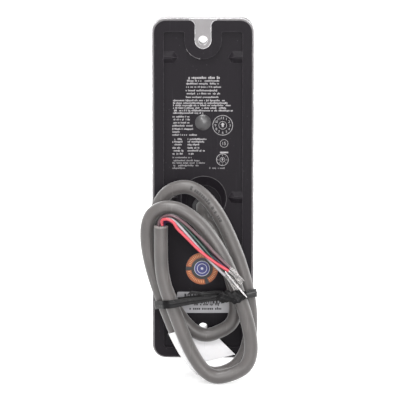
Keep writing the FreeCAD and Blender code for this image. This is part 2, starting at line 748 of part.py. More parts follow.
def aerial_coil():
    """The flat winding behind the window, taken as one ring of its outer shape."""
    width = WINDOW_SIZE[0] - 2 * AERIAL_MARGIN
    height = WINDOW_SIZE[1] - 2 * AERIAL_MARGIN
    front = BOARD_FRONT_Y - AERIAL_HEIGHT
    ring = rounded_plate(width, height, WINDOW_CORNER, front, BOARD_FRONT_Y, 0, WINDOW_Z)
    inside = rounded_plate(
        width - 2 * AERIAL_TRACK,
        height - 2 * AERIAL_TRACK,
        WINDOW_CORNER / 2,
        front - PAST,
        BOARD_FRONT_Y + PAST,
        0,
        WINDOW_Z,
    )
    return ring.cut(inside)


def ferrite_sheet():
    width = WINDOW_SIZE[0] - 2 * FERRITE_INSET
    height = WINDOW_SIZE[1] - 2 * FERRITE_INSET
    back = BOARD_BACK_Y + FERRITE_THICKNESS
    return rounded_plate(width, height, 0.5, BOARD_BACK_Y, back, 0, WINDOW_Z)


def tamper_lens():
    """A clear dome in the back plate, over the light sensor that sees the wall."""
    barrel = disc(LENS_DIAMETER, PANEL_INNER_Y, PANEL_Y, 0, LENS_Z)
    flange_diameter = LENS_DIAMETER + 2 * LENS_FLANGE_OUT
    flange = disc(flange_diameter, PANEL_INNER_Y - LENS_FLANGE_THICKNESS, PANEL_INNER_Y, 0, LENS_Z)
    rise = PANEL_RECESS - LENS_DOME_SINK
    half = LENS_DIAMETER / 2
    sphere_radius = (half * half + rise * rise) / (2 * rise)
    sphere = Part.makeSphere(sphere_radius, vec(0, PANEL_Y + rise - sphere_radius, LENS_Z))
    dome = sphere.common(disc(LENS_DIAMETER, PANEL_Y, PANEL_Y + rise + PAST, 0, LENS_Z))
    return barrel.fuse([flange, dome]).removeSplitter()


def tamper_sensor():
    back = MAIN_BACK_Y + TAMPER_SENSOR_HEIGHT
    return rounded_plate(TAMPER_SENSOR_SIZE, TAMPER_SENSOR_SIZE, 0.2, MAIN_BACK_Y, back, 0, LENS_Z)


def cable_gland():
    """A rubber bush in the floor of the well, with the cable through it."""
    collar_diameter = GLAND_NECK + 2 * GLAND_COLLAR_OUT
    collar = disc(collar_diameter, WELL_FLOOR_Y, WELL_FLOOR_Y + GLAND_COLLAR_HEIGHT, 0, GLAND_Z)
    neck = disc(GLAND_NECK, WELL_BOTTOM_Y, WELL_FLOOR_Y, 0, GLAND_Z)
    flange = disc(GLAND_NECK + 2 * GLAND_FLANGE_OUT, GLAND_INNER_Y, WELL_BOTTOM_Y, 0, GLAND_Z)
    bore = disc(GLAND_BORE, GLAND_INNER_Y - PAST, PAST, 0, GLAND_Z)
    return collar.fuse([neck, flange]).cut(bore).removeSplitter()


def core_offsets():
    """Where the six cores sit round the cable's middle, by angle."""
    offsets = {}
    for name, degrees in CORE_ANGLES.items():
        angle = math.radians(degrees)
        offsets[name] = (CORE_RING * math.cos(angle), CORE_RING * math.sin(angle))
    return offsets


def inner_wires():
    """The cores, soldered straight into the front board behind the gland."""
    stubs = []
    for across, up in core_offsets().values():
        stubs.append(disc(WIRE_DIAMETER, BOARD_BACK_Y, GLAND_INNER_Y, across, GLAND_Z + up))
    return Part.makeCompound(stubs)


def coil_point(across, along, y):
    """A point of the coil, from its place across and along the leaning axis."""
    lean = math.radians(COIL_LEAN)
    x = COIL_X - across * math.cos(lean) - along * math.sin(lean)
    z = COIL_Z + across * math.sin(lean) - along * math.cos(lean)
    return vec(x, y, z)


def coil_direction(across, along, climb=0.0):
    way = coil_point(across, along, climb) - coil_point(0, 0, 0)
    return way.normalize()


def coil_stations():
    """Point and direction at each quarter turn, from the gland to the cut end."""
    stations = [
        (vec(0, GLAND_INNER_Y, GLAND_Z), vec(0, 1, 0)),
        (vec(0, GLAND_INNER_Y + CABLE_DIAMETER, GLAND_Z), vec(0, 1, 0)),
    ]
    turns = len(RIGHT_SIDES)
    for turn in range(turns):
        y = FIRST_LAYER_Y + turn * LAYER_PITCH
        rise = EXIT_LAYER_RISE if turn == 0 else 0
        right = coil_point(RIGHT_SIDES[turn], RIGHT_WAISTS[turn], y + rise)
        lower = coil_point(LOWER_SHIFTS[turn], LOWER_ENDS[turn], y)
        left = coil_point(LEFT_SIDES[turn], LEFT_WAISTS[turn], y)
        stations.append((right, coil_direction(0, 1)))
        stations.append((lower, coil_direction(-1, 0)))
        stations.append((left, coil_direction(0, -1)))
        if turn < turns - 1:
            upper = coil_point(UPPER_SHIFTS[turn], UPPER_ENDS[turn], y + LAYER_PITCH / 2)
            stations.append((upper, coil_direction(1, 0, CLIMB_SLOPE)))
    end = vec(JACKET_END_X, LAST_LAYER_Y, JACKET_END_Z)
    up = vec(0, 0, 1)
    stations.append((end - up * CABLE_DIAMETER, up))
    stations.append((end, up))
    return stations


def tangent_arc(start, corner, end):
    """The arc that touches start-corner and corner-end, whose two legs are alike."""
    chord_middle = (start + end) * 0.5
    reach = corner - chord_middle
    half_chord = (end - start).Length / 2
    if reach.Length < 1e-4 * half_chord:
        return Part.makeLine(start, end), float("inf")
    base_angle = math.atan2(reach.Length, half_chord)
    height = half_chord * math.tan(base_angle / 2)
    middle = chord_middle + reach * (height / reach.Length)
    return Part.Arc(start, middle, end).toShape(), half_chord / math.sin(base_angle)


def biarc(start, start_way, end, end_way):
    """Two tangent arcs, with legs of one length, from one station to the next."""
    gap = end - start
    if gap.cross(start_way).Length < 1e-6 and gap.cross(end_way).Length < 1e-6:
        return [Part.makeLine(start, end)], []
    both = start_way + end_way
    flat = 2 * (1 - start_way.dot(end_way))
    if flat < 1e-9:
        leg = gap.Length / 4
    else:
        pull = gap.dot(both)
        leg = (math.sqrt(pull * pull + flat * gap.dot(gap)) - pull) / flat
    first_corner = start + start_way * leg
    last_corner = end - end_way * leg
    joint = (first_corner + last_corner) * 0.5
    first, first_radius = tangent_arc(start, first_corner, joint)
    last, last_radius = tangent_arc(joint, last_corner, end)
    return [first, last], [first_radius, last_radius]


def coil_edges():
    stations = coil_stations()
    edges = []
    radii = []
    for (start, start_way), (end, end_way) in zip(stations, stations[1:]):
        found, bends = biarc(start, start_way, end, end_way)
        edges += found
        radii += bends
    return edges, radii


def tube(edges, diameter):
    """A round tube along tangent edges."""
    path = Part.Wire(edges)
    start = edges[0].valueAt(edges[0].FirstParameter)
    way = edges[0].tangentAt(edges[0].FirstParameter)
    ring = Part.Wire(Part.makeCircle(diameter / 2, start, way))
    solid = path.makePipeShell([ring], True, False)
    if solid.Volume < 0:
        solid.reverse()
    return Part.Solid(solid.Shells[0])


def least_gap(edges, diameter):
    """The least clear space between two places on the tube that are not neighbours."""
    spacing = 2.0
    points = []
    for edge in edges:
        count = max(2, int(edge.Length / spacing) + 1)
        points += edge.discretize(count)[:-1]
    skip = int(4 * diameter / spacing)
    least = float("inf")
    for number, point in enumerate(points):
        for other in points[number + skip:]:
            least = min(least, point.distanceToPoint(other))
    return least - diameter


def cable_coil():
    edges, radii = coil_edges()
    solid = tube(edges, CABLE_DIAMETER)
    length = sum(edge.Length for edge in edges)
    section = math.pi * CABLE_RADIUS ** 2
    print("cable_coil length", round(length, 1), "least radius", round(min(radii), 2))
    print("cable_coil radii", [round(r, 1) for r in radii])
    print("cable_coil volume over section times length", round(solid.Volume / (section * length), 4))
    print("cable_coil least gap to itself", round(least_gap(edges, CABLE_DIAMETER), 2))
    return solid


def rounded_route(points):
    """Straight runs joined by tangent arcs, each as large as its shorter run allows."""
    edges = []
    radii = []
    at = points[0]
    for before, corner, after in zip(points, points[1:], points[2:]):
        come = corner - before
        leave = after - corner
        leg = 0.45 * min(come.Length, leave.Length)
        turn = come.getAngle(leave)
        start = corner - come.normalize() * leg
        end = corner + leave.normalize() * leg
        edges.append(Part.makeLine(at, start))
        arc, radius = tangent_arc(start, corner, end)
        edges.append(arc)
        radii.append(leg / math.tan(turn / 2))
        at = end
    edges.append(Part.makeLine(at, points[-1]))
    return edges, radii


def wire_points(name):
    """Straight out of the jacket beside the cable's middle line, then along the wire's own route."""
    across, up = core_offsets()[name]
    jacket_end = vec(JACKET_END_X, LAST_LAYER_Y, JACKET_END_Z)
    start = jacket_end + vec(across, up, 0)
    return [start, start + vec(0, 0, CORE_ROOTS[name])] + [jacket_end + vec(*place) for place in WIRE_ROUTES[name]]


def core_wire(name):
    edges, radii = rounded_route(wire_points(name))
    solid = tube(edges, WIRE_DIAMETER)
    length = sum(edge.Length for edge in edges)
    section = math.pi * WIRE_DIAMETER ** 2 / 4
    print(name, "length", round(length, 1), "radii", [round(r, 1) for r in radii],
          "volume over section times length", round(solid.Volume / (section * length), 4))
    return solid


def wire_tips():
    """The tinned strands past the end of each core's jacket."""
    tips = []
    for name in CORE_ANGLES:
        points = wire_points(name)
        way = (points[-1] - points[-2]).normalize()
        tips.append(Part.makeCylinder(TIP_DIAMETER / 2, TIP_LENGTH, points[-1], way))
    return Part.makeCompound(tips)


def drain_wire():
    edges, radii = rounded_route([vec(*point) for point in DRAIN_ROUTE])
    solid = tube(edges, DRAIN_DIAMETER)
    print("drain_wire length", round(sum(edge.Length for edge in edges), 1), "radii", [round(r, 1) for r in radii])
    return solid


def tie_axes():
    """Across the coil, out from the back, and over the band's width. The loop's back hangs lower."""
    lean = math.radians(TIE_LEAN)
    tilt = math.radians(TIE_TILT)
    across = vec(-math.cos(lean), 0, math.sin(lean))
    upright = vec(math.sin(lean), 0, math.cos(lean))
    out = vec(0, 1, 0)
    return across, out * math.cos(tilt) + upright * math.sin(tilt), upright * math.cos(tilt) - out * math.sin(tilt)


def tie_top():
    """How far the band's front stands out from the plane of the rim."""
    return LAST_LAYER_Y + CABLE_RADIUS + TIE_GAP + TIE_THICKNESS


def tie_point(across_place, depth, wide_place=0.0):
    across, deep, wide = tie_axes()
    front = vec(TIE_X, tie_top(), TIE_Z)
    return front + across * across_place + deep * (depth - tie_top()) + wide * wide_place


def tie_crossings():
    """Where the cable's middle line passes through both edges of the tie."""
    across, deep, wide = tie_axes()
    middle = tie_point(0, 0)
    crossings = []
    for edge in coil_edges()[0]:
        points = edge.discretize(40)
        for a, b in zip(points, points[1:]):
            for place in (-TIE_WIDTH / 2, TIE_WIDTH / 2):
                side_a = (a - middle).dot(wide) - place
                side_b = (b - middle).dot(wide) - place
                if side_a * side_b < 0:
                    point = a + (b - a) * (side_a / (side_a - side_b))
                    crossings.append(((point - middle).dot(across), (point - middle).dot(deep)))
    return crossings


def convex_ring(places):
    """The places that stand furthest out, in order round them."""
    ordered = sorted(places)

    def half(run):
        chain = []
        for place in run:
            while len(chain) > 1:
                (ax, ay), (bx, by) = chain[-2:]
                if (bx - ax) * (place[1] - ay) - (by - ay) * (place[0] - ax) > 0:
                    break
                chain.pop()
            chain.append(place)
        return chain[:-1]

    return half(ordered) + half(ordered[::-1])


def twist_tie():
    """A band round the coil's waist, its twisted knot in front and one loose tail."""
    deep, wide = tie_axes()[1:]
    ring = convex_ring(tie_crossings())
    corners = [tie_point(place, depth, -TIE_WIDTH / 2) for place, depth in ring]
    core = Part.Face(Part.makePolygon(corners + corners[:1]))
    inner_reach = CABLE_RADIUS + TIE_GAP
    inner = core.makeOffset2D(inner_reach)
    outer = core.makeOffset2D(inner_reach + TIE_THICKNESS)
    band = outer.cut(inner).extrude(wide * TIE_WIDTH)

    length, height, thickness = KNOT_SIZE
    base = tie_top() - TIE_THICKNESS / 2
    sections = []
    shapes = [(-0.5, 0.35), (-0.25, 0.9), (0.0, 1.0), (0.3, 0.8), (0.5, 0.4)]
    for place, size in shapes:
        half_h = height * size / 2
        tall = thickness * size
        at = KNOT_SHIFT + place * length
        ring_points = [
            tie_point(at, base, -half_h),
            tie_point(at, base, half_h),
            tie_point(at, base + tall * 0.7, half_h * 0.8),
            tie_point(at, base + tall, 0),
            tie_point(at, base + tall * 0.7, -half_h * 0.8),
        ]
        sections.append(Part.makePolygon(ring_points + ring_points[:1]))
    knot = Part.makeLoft(sections, True, True)

    tail_start = KNOT_SHIFT - length * 0.3
    tail_end = tail_start - TAIL_LENGTH
    rise = TAIL_LENGTH * math.tan(math.radians(TAIL_LEAN))
    level = tie_top() - TIE_THICKNESS / 4
    tail_corners = [
        tie_point(tail_start, level, TAIL_SHIFT - TAIL_WIDTH / 2),
        tie_point(tail_start, level, TAIL_SHIFT + TAIL_WIDTH / 2),
        tie_point(tail_end, level, TAIL_SHIFT + rise + TAIL_WIDTH / 2),
        tie_point(tail_end, level, TAIL_SHIFT + rise - TAIL_WIDTH / 2),
    ]
    tail = Part.Face(Part.makePolygon(tail_corners + tail_corners[:1])).extrude(deep * TIE_THICKNESS)
    return band.fuse([knot, tail]).removeSplitter()


def edges_between(edges, start_length, end_length):
    """The stretch of a path from one length along it to another."""
    found = []
    done = 0.0
    for edge in edges:
        low = max(start_length - done, 0)
        high = min(end_length - done, edge.Length)
        if high - low > 1e-3:
            first = edge.getParameterByLength(low)
            last = edge.getParameterByLength(high)
            found.append(edge.Curve.toShape(first, last))
        done += edge.Length
    return found


def left_length(edges, along, lowest_y):
    """Length along the coil to the place on its middle turn's left side, that far along the axis."""
    lean = math.radians(COIL_LEAN)
    axis = vec(-math.sin(lean), 0, -math.cos(lean))
    across = vec(-math.cos(lean), 0, math.sin(lean))
    middle = vec(COIL_X, 0, COIL_Z)
    done = 0.0
    for edge in edges:
        points = edge.discretize(80)
        step = edge.Length / 79
        for number, (a, b) in enumerate(zip(points, points[1:])):
            start = (a - middle).dot(axis) - along
            end = (b - middle).dot(axis) - along
            if start * end <= 0 and a.y > lowest_y and (a - middle).dot(across) < LOWER_SHIFTS[1]:
                return done + (number + start / (start - end)) * step
        done += edge.Length
    raise ValueError("the coil does not reach the tag")


def tag_stretch(spare):
    """The part of the cable under the tag, longer by the spare length at both ends."""
    edges = coil_edges()[0]
    lowest = FIRST_LAYER_Y + LAYER_PITCH * 0.75
    near = left_length(edges, TAG_END, lowest)
    far = left_length(edges, TAG_START, lowest)
    return edges_between(edges, near - spare, far + spare)


def cable_tag():
    """A paper flag, wrapped round the middle turn and folded down to the back of the reader."""
    middle_layer = FIRST_LAYER_Y + LAYER_PITCH
    inner = CABLE_DIAMETER + 2 * TAG_GAP
    stretch = tag_stretch(0)
    sleeve = tube(stretch, inner + 2 * TAG_WRAP)
    core = tube(tag_stretch(PAST), inner)

    start = stretch[0].valueAt(stretch[0].FirstParameter)
    way = stretch[0].tangentAt(stretch[0].FirstParameter)
    side = way.cross(vec(0, 1, 0)) * (TAG_THICKNESS / 2)
    top = middle_layer - CABLE_RADIUS
    fold = [
        vec(start.x, top, start.z) + side,
        vec(start.x, TAG_FLAG_Y, start.z) + side,
        vec(start.x, TAG_FLAG_Y, start.z) - side,
        vec(start.x, top, start.z) - side,
    ]
    drop = Part.Wire(stretch).makePipeShell([Part.makePolygon(fold + fold[:1])], True, False)

    end = stretch[-1].valueAt(stretch[-1].LastParameter)
    lowered = Part.Wire(stretch).translated(vec(0, TAG_FLAG_Y - middle_layer, 0))
    first = vec(start.x, TAG_FLAG_Y, start.z)
    last = vec(end.x, TAG_FLAG_Y, end.z)
    lower_corner = coil_point(*TAG_LOWER_CORNER, TAG_FLAG_Y)
    upper_corner = coil_point(*TAG_UPPER_CORNER, TAG_FLAG_Y)
    outline = lowered.Edges + [
        Part.makeLine(last, upper_corner),
        Part.makeLine(upper_corner, lower_corner),
        Part.makeLine(lower_corner, first),
    ]
    flag = Part.Face(Part.Wire(Part.__sortEdges__(outline))).extrude(vec(0, TAG_THICKNESS, 0))
    return sleeve.fuse([drop, flag]).cut(core).removeSplitter()


def back_label():
    width, height = LABEL_SIZE
    back = PANEL_Y + STICKER_THICKNESS
    return rounded_plate(width, height, LABEL_CORNER, PANEL_Y, back, LABEL_X, LABEL_Z)


def round_seal():
    return disc(SEAL_DIAMETER, PANEL_Y, PANEL_Y + STICKER_THICKNESS, SEAL_X, SEAL_Z)


def all_parts():
    parts = {
        "front_cover": front_cover(),
        "back_plate": back_plate(),
        "seal_gasket": seal_gasket(),
        "key_mat": key_mat(),
        "key_sensors": key_sensors(),
        "front_board": front_board(),
        "board_screws": board_screws(),
        "main_board": main_board(),
        "board_spacers": board_spacers(),
        "spacer_screws": spacer_screws(),
        "board_header": board_header(),
        "controller_chip": chip(CONTROLLER_SIZE, CONTROLLER_HEIGHT, CONTROLLER_PLACE),
        "radio_chip": chip(RADIO_CHIP_SIZE, RADIO_CHIP_HEIGHT, RADIO_CHIP_PLACE),
        "small_parts": small_parts(),
        "buzzer": buzzer(),
        "status_lens": status_lens(),
        "status_leds": status_leds(),
        "reader_window": reader_window(),
        "aerial_coil": aerial_coil(),
        "ferrite_sheet": ferrite_sheet(),
        "tamper_lens": tamper_lens(),
        "tamper_sensor": tamper_sensor(),
        "cable_gland": cable_gland(),
        "inner_wires": inner_wires(),
        "cable_coil": cable_coil(),
        "wire_tips": wire_tips(),
        "drain_wire": drain_wire(),
        "twist_tie": twist_tie(),
        "cable_tag": cable_tag(),
        "back_label": back_label(),
        "round_seal": round_seal(),
    }
    for name, x, z in key_places():
        parts[name] = key(x, z)
    for name in CORE_ANGLES:
        parts[name] = core_wire(name)
    return parts


def main():
    os.makedirs("parts", exist_ok=True)
    for name, shape in all_parts().items():
        if not shape.isValid():
            print("not valid:", name)
        shape.exportStep(os.path.join("parts", name + ".step"))
        print(name, len(shape.Solids), "solids", round(shape.Volume, 1), "mm3")


main()
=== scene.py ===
import math

import bpy
import numpy as np
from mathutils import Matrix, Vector


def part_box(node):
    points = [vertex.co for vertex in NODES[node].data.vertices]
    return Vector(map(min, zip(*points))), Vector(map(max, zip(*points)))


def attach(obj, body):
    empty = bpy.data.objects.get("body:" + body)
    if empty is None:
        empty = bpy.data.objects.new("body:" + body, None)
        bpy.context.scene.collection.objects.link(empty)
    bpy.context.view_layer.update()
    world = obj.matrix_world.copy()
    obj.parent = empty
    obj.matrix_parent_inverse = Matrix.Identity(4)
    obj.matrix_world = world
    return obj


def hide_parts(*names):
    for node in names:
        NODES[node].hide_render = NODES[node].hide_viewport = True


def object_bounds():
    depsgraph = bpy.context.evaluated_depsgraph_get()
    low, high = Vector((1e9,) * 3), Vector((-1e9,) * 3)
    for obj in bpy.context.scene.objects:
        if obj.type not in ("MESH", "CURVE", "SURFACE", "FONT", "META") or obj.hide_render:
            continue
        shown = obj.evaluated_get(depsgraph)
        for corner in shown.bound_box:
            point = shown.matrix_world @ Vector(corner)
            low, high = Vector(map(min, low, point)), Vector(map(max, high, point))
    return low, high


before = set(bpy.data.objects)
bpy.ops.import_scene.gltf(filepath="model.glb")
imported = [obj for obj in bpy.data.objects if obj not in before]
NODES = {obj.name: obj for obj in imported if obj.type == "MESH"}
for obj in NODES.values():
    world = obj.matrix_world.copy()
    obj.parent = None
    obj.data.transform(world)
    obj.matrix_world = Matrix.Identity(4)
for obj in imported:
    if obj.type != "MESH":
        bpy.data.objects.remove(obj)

CAD_BOX = [list(corner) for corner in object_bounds()]
MM = 0.001
BODY = "reader"

# Camera, in metres: behind the reader and a little above it. Its lens and sensor are in millimetres.
CAMERA_DISTANCE = 1.09
CAMERA_RISE = math.radians(8)
CAMERA_AIM = (0.00127, 0.0, -0.00422)
CAMERA_LENS = 232.2
SENSOR = 36.0

# Stage, in metres: where its floor starts and ends, the radius of its bend, how high it rises, half
# its width and how far it lies under the coil. The glow is the light of its own that is seen in it.
STAGE_START = 5.0
STAGE_END = -0.9
STAGE_BEND = 0.5
STAGE_RISE = 2.2
STAGE_HALF_WIDTH = 4.0
STAGE_GAP = 0.0002
STAGE_GLOW = 0.62
# How bright the world is where it lights things. To the camera, mirrors and glass it is 1.
WORLD_LEVEL = 0.45
# Lights: place and aim, width and height in metres, and power in watts.
LIGHTS = {
    "top_light": ((0.05, 0.32, 0.85), (0, 0, 0), 0.5, 0.4, 9.0),
    "key_light": ((0.22, 0.98, 0.58), (0, 0, -0.03), 0.28, 0.28, 4.0),
    "back_light": ((-0.25, 1.2, 0.32), (0, 0, -0.03), 1.0, 0.6, 6.2),
    "side_light": ((1.0, 0.35, 0.12), (0, 0, -0.02), 0.5, 0.9, 0.9),
    "low_light": ((-0.14, 1.0, 0.07), (0, 0, 0.03), 0.46, 0.12, 2.0),
    "rim_light": ((-0.7, -0.35, 0.35), (0, 0.01, -0.03), 0.25, 0.6, 4.0),
    "front_light": ((0.2, -0.9, 0.45), (0, 0, 0), 0.7, 0.7, 6.0),
}

# Specks of dust: how many cells a metre one may lie in, and how strongly it tints.
SPECK_CELLS = 700.0
SPECK_STRENGTH = 0.55

# Cable: the length of its route in metres, and from here on millimetres. The coil's turns lean, and
# are given across and along the leaning axis, with their depth in front of the back.
CABLE_DIAMETER = 5.8
COIL_X = 1.3
COIL_Z = -40.2
COIL_LEAN = math.radians(20)
RIGHT_0 = (14.3, -22.7, 7.4)
LOWER_0 = (-1.8, 21.2, 6.1)
LEFT_0 = (-13.9, -7.4, 6.1)
UPPER_0 = (4.6, -43.4, 9.25)
RIGHT_1 = (19.6, -6.5, 12.4)
LOWER_1 = (-1.5, 37.1, 12.4)
LEFT_1 = (-16.3, -2.0, 12.4)
UPPER_1 = (-3.4, -38.3, 15.55)
RIGHT_2 = (14.9, 1.0, 18.7)
LOWER_2 = (0.6, 37.7, 18.7)
LEFT_2 = (-13.0, 1.1, 18.7)
# Each quarter turn: its side, its end, how square it is, and whether it runs from side to end.
QUARTERS = [
    (RIGHT_0, LOWER_0, 3.5, True),
    (LEFT_0, LOWER_0, 2.3, False),
    (LEFT_0, UPPER_0, 2.0, True),
    (RIGHT_1, UPPER_0, 2.5, False),
    (RIGHT_1, LOWER_1, 2.1, True),
    (LEFT_1, LOWER_1, 2.8, False),
    (LEFT_1, UPPER_1, 2.4, True),
    (RIGHT_2, UPPER_1, 2.05, False),
    (RIGHT_2, LOWER_2, 3.0, True),
    (LEFT_2, LOWER_2, 3.3, False),
]
QUARTER_POINTS = 7
EXIT_POINTS = [(0, -6.2, -7.6), (0, -2.4, -7.6), (0, 1.6, -7.6), (-0.3, 5.4, -9.6), (-0.9, 7.3, -12.6)]
JACKET_END = (17.5, 18.7, -12.5)
END_POINTS = [(15.5, 18.7, -39.2), (17.0, 18.7, -33.0), (17.5, 18.7, -26.0), (17.5, 18.7, -19.0), JACKET_END]

# Core wires: each one's length, colour and route, in millimetres.
WIRE_DIAMETER = 1.3
WIRES = {
    "red": (36.2, (196, 66, 78)),
    "white": (39.1, (158, 154, 158)),
    "brown": (41.6, (88, 62, 68)),
    "black": (41.8, (30, 28, 30)),
    "green": (40.0, (24, 56, 48)),
    "purple": (36.2, (62, 40, 72)),
}
WIRE_ROUTES = {
    "red": [
        (16.91, 20.25, -12.04), (17.4, 20.45, -10.46), (16.43, 21.3, -9.15), (14.1, 21.9, -9.15),
        (11.94, 22.3, -10.6), (11.0, 22.6, -12.75), (6.78, 23.25, -16.62), (2.03, 24.13, -21.53),
        (-4.28, 24.48, -26.55), (-10.57, 24.5, -30.38),
    ],
    "white": [
        (17.3, 18.85, -12.5), (17.3, 18.85, -11.1), (16.5, 19.2, -9.5), (14.9, 19.9, -8.95),
        (12.8, 20.6, -9.35), (9.9, 21.5, -11.75), (6.1, 22.1, -16.15), (1.61, 22.63, -21.12),
        (-3.69, 23.28, -27.36), (-9.22, 23.63, -32.46),
    ],
    "brown": [
        (18.45, 19.5, -12.5), (18.45, 19.5, -11.1), (17.2, 19.75, -8.8), (15.21, 20.1, -7.87),
        (12.45, 20.9, -7.75), (8.44, 21.9, -10.03), (3.82, 22.66, -14.16), (-0.87, 23.41, -18.63),
        (-5.92, 23.97, -24.35), (-11.33, 24.22, -29.2),
    ],
    "black": [
        (18.8, 17.95, -12.5), (18.8, 17.95, -11.15), (17.4, 18.28, -8.83), (15.21, 18.71, -7.8),
        (12.41, 19.48, -7.55), (8.3, 20.42, -9.86), (4.07, 21.31, -14.37), (-0.25, 22.28, -19.25),
        (-5.62, 22.68, -24.76), (-11.32, 22.82, -29.22),
    ],
    "green": [
        (17.5, 17.2, -12.5), (17.5, 17.2, -11.15), (16.64, 17.46, -9.74), (15.02, 17.84, -9.14),
        (12.98, 19.27, -8.87), (9.19, 20.97, -10.82), (4.94, 22.08, -15.09), (0.49, 23.18, -19.99),
        (-4.53, 23.1, -26.24), (-9.83, 22.67, -31.54),
    ],
    "purple": [
        (16.2, 17.95, -12.5), (16.2, 17.95, -11.55), (15.72, 18.2, -10.75), (14.87, 18.72, -10.33),
        (13.68, 19.55, -10.2), (10.34, 20.55, -11.94), (5.74, 20.82, -15.76), (0.75, 21.09, -20.25),
        (-4.9, 21.76, -25.7), (-10.63, 22.29, -30.28),
    ],
}
# The tinned ends: how far they stand out of the insulation, and how far they start inside it.
TIP_LENGTH = 7.2
TIP_ROOT = 0.4
# Fine strands: how many sides each has, and the direction that its ring starts from.
STRAND_SIDES = 8
STRAND_HINT = np.array([0.35, 0.9, 0.25])
DRAIN_ROUTE = [(-9.2, 25.1, -30.6), (-12.4, 25.6, -34.4), (-15.6, 26.0, -38.2), (-18.2, 26.1, -41.4)]

# The jacket's cut end, from its outer side to its middle: radius, height over the end, and share of
# the raggedness.
LIP_OUTLINE = [
    (2.93, -0.7, 0), (2.96, -0.1, 0.6), (2.9, 0.12, 1), (2.6, 0.2, 1), (2.3, 0.12, 1), (2.22, -0.05, 0.5),
    (2.2, -0.05, 0), (0.0, -0.02, 0),
]
# Print on the cable's second turn: the depths between which that turn starts, how much further on
# the print starts, its length and height, how far round the jacket its foot lies, how far off the
# jacket it is, the side that it faces and its seed.
CABLE_PRINT_DEPTHS = (9.5, 12.3)
CABLE_PRINT_START = 5.2
CABLE_PRINT_LENGTH = 21.0
CABLE_PRINT_HEIGHT = 1.8
CABLE_PRINT_ROUND = 0.65
CABLE_PRINT_LIFT = 0.012
CABLE_PRINT_SIDE = np.array([0.18, 1.0, 0.12])
CABLE_PRINT_SEED = 43

# Twist tie round the coil's waist: the middle of its front, its lean across the coil and its tilt
# to the back, half its width, how far it lies from the middle of the strands it holds, and the
# share of its width that it loses by the knot.
TIE_FRONT = np.array([-1.0, 22.5, -43.0])
TIE_LEAN = math.radians(7)
TIE_TILT = math.radians(8)
TIE_HALF_WIDTH = 1.7
TIE_REACH = 3.5
TIE_NARROWING = 0.34
# Its knot: the place of its middle across the coil, its length, its depth and half its thickness
# each way. Its loose tail: where it starts across the coil, its length and its depth.
KNOT_PLACE = 11.0
KNOT_LENGTH = 13.0
KNOT_DEPTH = 23.5
KNOT_HALF_WIDE = 2.6
KNOT_HALF_DEEP = 1.2
TAIL_START = 7.6
TAIL_LENGTH = 14.0
TAIL_DEPTH = 23.0

# Paper flag round the cable's middle turn: where it starts and ends along the coil, the depths of
# that turn and of the flag behind it, the outer edge's two ends across and along the coil, and the
# paper's thickness.
TAG_START = 13.0
TAG_END = 32.2
TAG_DEPTH = 12.4
TAG_FLAG_DEPTH = 2.45
TAG_CORNERS = [(-2.8, 18.9), (3.9, 33.4)]
TAG_THICKNESS = 0.14

# Back of the reader: the depths of its panel and of the stickers on it, and how far print lies off
# them, or over other print.
PANEL_DEPTH = -1.3
STICKER_FACE = -1.18
PRINT_LIFT = 0.02
UPPER_LIFT = 1.6 * PRINT_LIFT
# Rows of print on the back: x of the left and the right end that the viewer sees, and height. The
# first row is the tallest, and the fine rows are fainter.
PRINT_ROWS = [
    (6.9, -7.1, 47.5), (6.7, -6.9, 46.2), (7.1, -7.1, 45.0), (7.5, -7.7, 43.6), (7.3, -6.2, 42.1),
    (7.3, -7.3, 40.8), (7.2, -6.8, 39.3), (12.6, -9.3, 37.9), (12.6, -10.4, 36.8), (12.6, -11.7, 35.8),
    (12.6, -9.9, 34.7), (12.6, -12.6, 33.6), (12.6, -0.3, 32.6), (12.9, 5.4, 31.0), (12.9, 5.5, 29.8),
    (12.9, 5.6, 28.5), (12.9, 4.4, 27.2), (12.9, 4.2, 25.8), (12.9, 9.0, 24.6), (12.9, 2.3, 23.3),
    (12.9, 8.9, 21.5), (12.9, 8.6, 20.4), (12.9, 8.6, 19.2), (12.9, 8.9, 17.8), (12.9, 8.1, 16.6),
    (12.9, 8.2, 15.3), (6.5, -1.7, 21.5), (6.5, -0.8, 20.4), (6.5, 1.3, 19.2), (6.5, 1.3, 17.8),
    (6.5, -0.8, 16.6), (6.5, 3.0, 15.3),
]
FINE_ROWS = [
    (12.9, 4.8, 13.7), (12.9, 0.8, 12.4), (12.9, -1.1, 11.4), (12.9, 1.8, 10.3), (12.9, 7.6, 9.2),
    (-2.7, -9.5, 9.2),
]
TOP_ROW_HEIGHT = 1.1
PRINT_HEIGHT = 0.72
FINE_HEIGHT = 0.66
PRINT_SEED = 100
# The dials: x, height and radius.
MONTH_DIAL = (-8.3, 27.4, 4.3)
YEAR_DIAL = (-8.2, 12.8, 2.6)
# From here on as the viewer sees the back, to the right of its middle. The ringed number's
# place and size and its ring's radii, and a short bar from left to right and from foot to head.
RINGED_PLACE = (8.9, 19.7)
RINGED_SIZE = 1.9
RINGED_RADII = (1.55, 1.72)
SHORT_BAR = (7.15, 10.65, 15.55, 16.2)
# The label's bars from left to right and from foot to head, how many are drawn at most and their
# seed, and its rows: left and right end, letter height, seed and height on the back.
LABEL_BARS = (-7.9, 8.8, -48.9, -44.6)
LABEL_BAR_COUNT = 24
LABEL_SEED = 7
LABEL_ROWS = [(-3.8, 6.8, 1.0, 8, -49.7), (-7.2, 8.1, 1.15, 9, -51.6)]
# The round seal: its middle, its band's arcs, and the radii of its band, ticks, disc and rings.
SEAL_PLACE = (-0.4, -33.8)
SEAL_ARCS = [(math.radians(start), math.radians(end)) for start, end in ((-62, 48), (62, 172), (188, 282))]
SEAL_BAND = (4.6, 6.8)
SEAL_TICKS = (5.0, 6.1)
SEAL_DISC = (0.0, 3.1)
SEAL_RINGS = ((1.9, 2.15), (3.1, 3.3), (0.0, 0.55))
